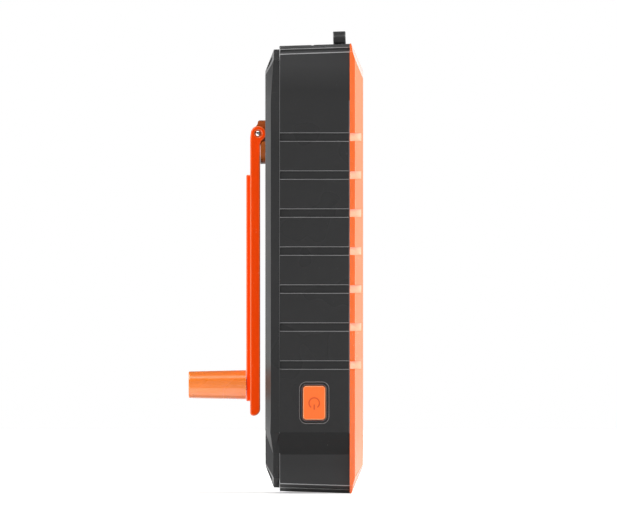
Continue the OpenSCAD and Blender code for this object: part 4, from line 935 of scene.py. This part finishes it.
def studio_world(settings):
    """White to the camera, even light on the part, and in gloss a dusky room with its lights."""
    world = bpy.data.worlds.new("Studio")
    world.use_nodes = True
    tree = world.node_tree
    tree.nodes.clear()
    seen = put(tree, "ShaderNodeLightPath").outputs
    shown = maths(tree, "MAXIMUM", seen["Is Camera Ray"], seen["Is Transmission Ray"])
    sight = put(tree, "ShaderNodeSeparateXYZ",
                {0: put(tree, "ShaderNodeTexCoord").outputs["Generated"]}).outputs
    height = maths(tree, "ABSOLUTE", sight[2])
    # A pale wall behind the part, up to a low height and brightest straight ahead
    ahead = remap(tree, sight[0], 0.78, 0.95, 1.0, 1.25)
    behind = maths(tree, "MULTIPLY", remap(tree, sight[0], -0.6, 0.0, 0.0, 1.0), ahead)
    level = remap(tree, height, 0.14, 0.32, 1.0, 0.1)
    wall = maths(tree, "MULTIPLY", maths(tree, "MULTIPLY", behind, level),
                 1.0 - settings.mirror)
    # A strip light high up on the camera's side, and slanting lights to the left and right
    strip = maths(tree, "MULTIPLY", band(tree, sight[2], 0.9, 0.03, 0.1, settings.strip),
                  remap(tree, sight[0], -0.15, 0.0, 1.0, 0.0))
    sides = maths(tree, "MULTIPLY", band(tree, height, 0.68, 0.1, 0.25, settings.sides),
                  band(tree, sight[0], 0.0, 0.15, 0.35, 1.0))
    room = settings.mirror
    for light in (wall, strip, sides):
        room = maths(tree, "ADD", light, room)
    glossy = maths(tree, "MULTIPLY", seen["Is Glossy Ray"], room)
    plain = maths(tree, "SUBTRACT", 1.0, maths(tree, "MAXIMUM", shown, seen["Is Glossy Ray"]))
    even = maths(tree, "MULTIPLY", plain, settings.fill)
    strength = maths(tree, "ADD", maths(tree, "ADD", shown, glossy), even)
    sky = put(tree, "ShaderNodeBackground", {"Color": (1, 1, 1), "Strength": strength})
    put(tree, "ShaderNodeOutputWorld", {"Surface": sky.outputs[0]})
    return world


def photo_camera(settings):
    """A camera level with the part, looking along +X at the side with the button."""
    data = bpy.data.cameras.new("Camera")
    data.lens = settings.lens
    data.sensor_width = 36.0
    data.clip_start = 0.1
    data.clip_end = 60.0
    camera = bpy.data.objects.new("Camera", data)
    camera.location = (CAD_BOX[0][0] - settings.distance, *PICTURE_MIDDLE)
    camera.rotation_euler = (radians(90), 0.0, radians(-90))
    bpy.context.scene.collection.objects.link(camera)
    return camera


class BANK_OT_stage(bpy.types.Operator):
    """White floor and surroundings, soft lamps and the camera"""
    bl_idname = "bank.stage"
    bl_label = "Stage"

    def execute(self, context):
        settings = context.scene.bank_stage
        bpy.ops.object.select_all(action="DESELECT")
        bpy.ops.mesh.primitive_plane_add(size=6.0, location=(0.0, 0.0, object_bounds()[0][2]))
        floor = context.active_object
        floor.name = "Floor"
        floor.data.materials.append(floor_finish(settings))
        floor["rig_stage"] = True
        context.scene.world = studio_world(settings)
        middle = (0.0, 0.0, 0.08)
        soft_lamp("Key_lamp", (-1.7, 0.45, 0.6), middle, 1.3, settings.key)
        soft_lamp("Top_lamp", (0.1, 0.1, 1.6), middle, 1.2, settings.top)
        soft_lamp("Back_lamp", (0.2, 1.6, 0.8), middle, 1.0, settings.back)
        soft_lamp("Front_lamp", (0.3, -1.6, 0.6), middle, 1.2, settings.front)
        context.scene.camera = photo_camera(settings)
        context.scene.view_settings.view_transform = "Standard"
        return {"FINISHED"}


class BANK_PT_panel(bpy.types.Panel):
    """Lists the steps that dress the power bank"""
    bl_idname = "BANK_PT_panel"
    bl_label = "Power bank"
    bl_space_type = "VIEW_3D"
    bl_region_type = "UI"
    bl_category = "Power bank"

    def draw(self, context):
        for step in STEPS:
            self.layout.operator(step.bl_idname)
        for group, kind in SETTINGS.items():
            box = self.layout.box()
            for name in kind.__annotations__:
                box.prop(getattr(context.scene, group), name)


STEPS = (BANK_OT_finishes, BANK_OT_housing, BANK_OT_fasteners, BANK_OT_panel, BANK_OT_button,
         BANK_OT_ports, BANK_OT_crank, BANK_OT_knob, BANK_OT_drive, BANK_OT_electronics,
         BANK_OT_stage)
SETTINGS = {"bank_housing": HousingSettings, "bank_crank": CrankSettings,
            "bank_panel": PanelSettings, "bank_stage": StageSettings}


def register():
    for kind in (*SETTINGS.values(), *STEPS, BANK_PT_panel):
        bpy.utils.register_class(kind)
    for name, kind in SETTINGS.items():
        setattr(bpy.types.Scene, name, PointerProperty(type=kind))


def unregister():
    for name in SETTINGS:
        delattr(bpy.types.Scene, name)
    for kind in (BANK_PT_panel, *reversed(STEPS), *SETTINGS.values()):
        bpy.utils.unregister_class(kind)


def main():
    register()
    for step in STEPS:
        area, name = step.bl_idname.split(".")
        getattr(getattr(bpy.ops, area), name)()


if __name__ == "__main__":
    main()
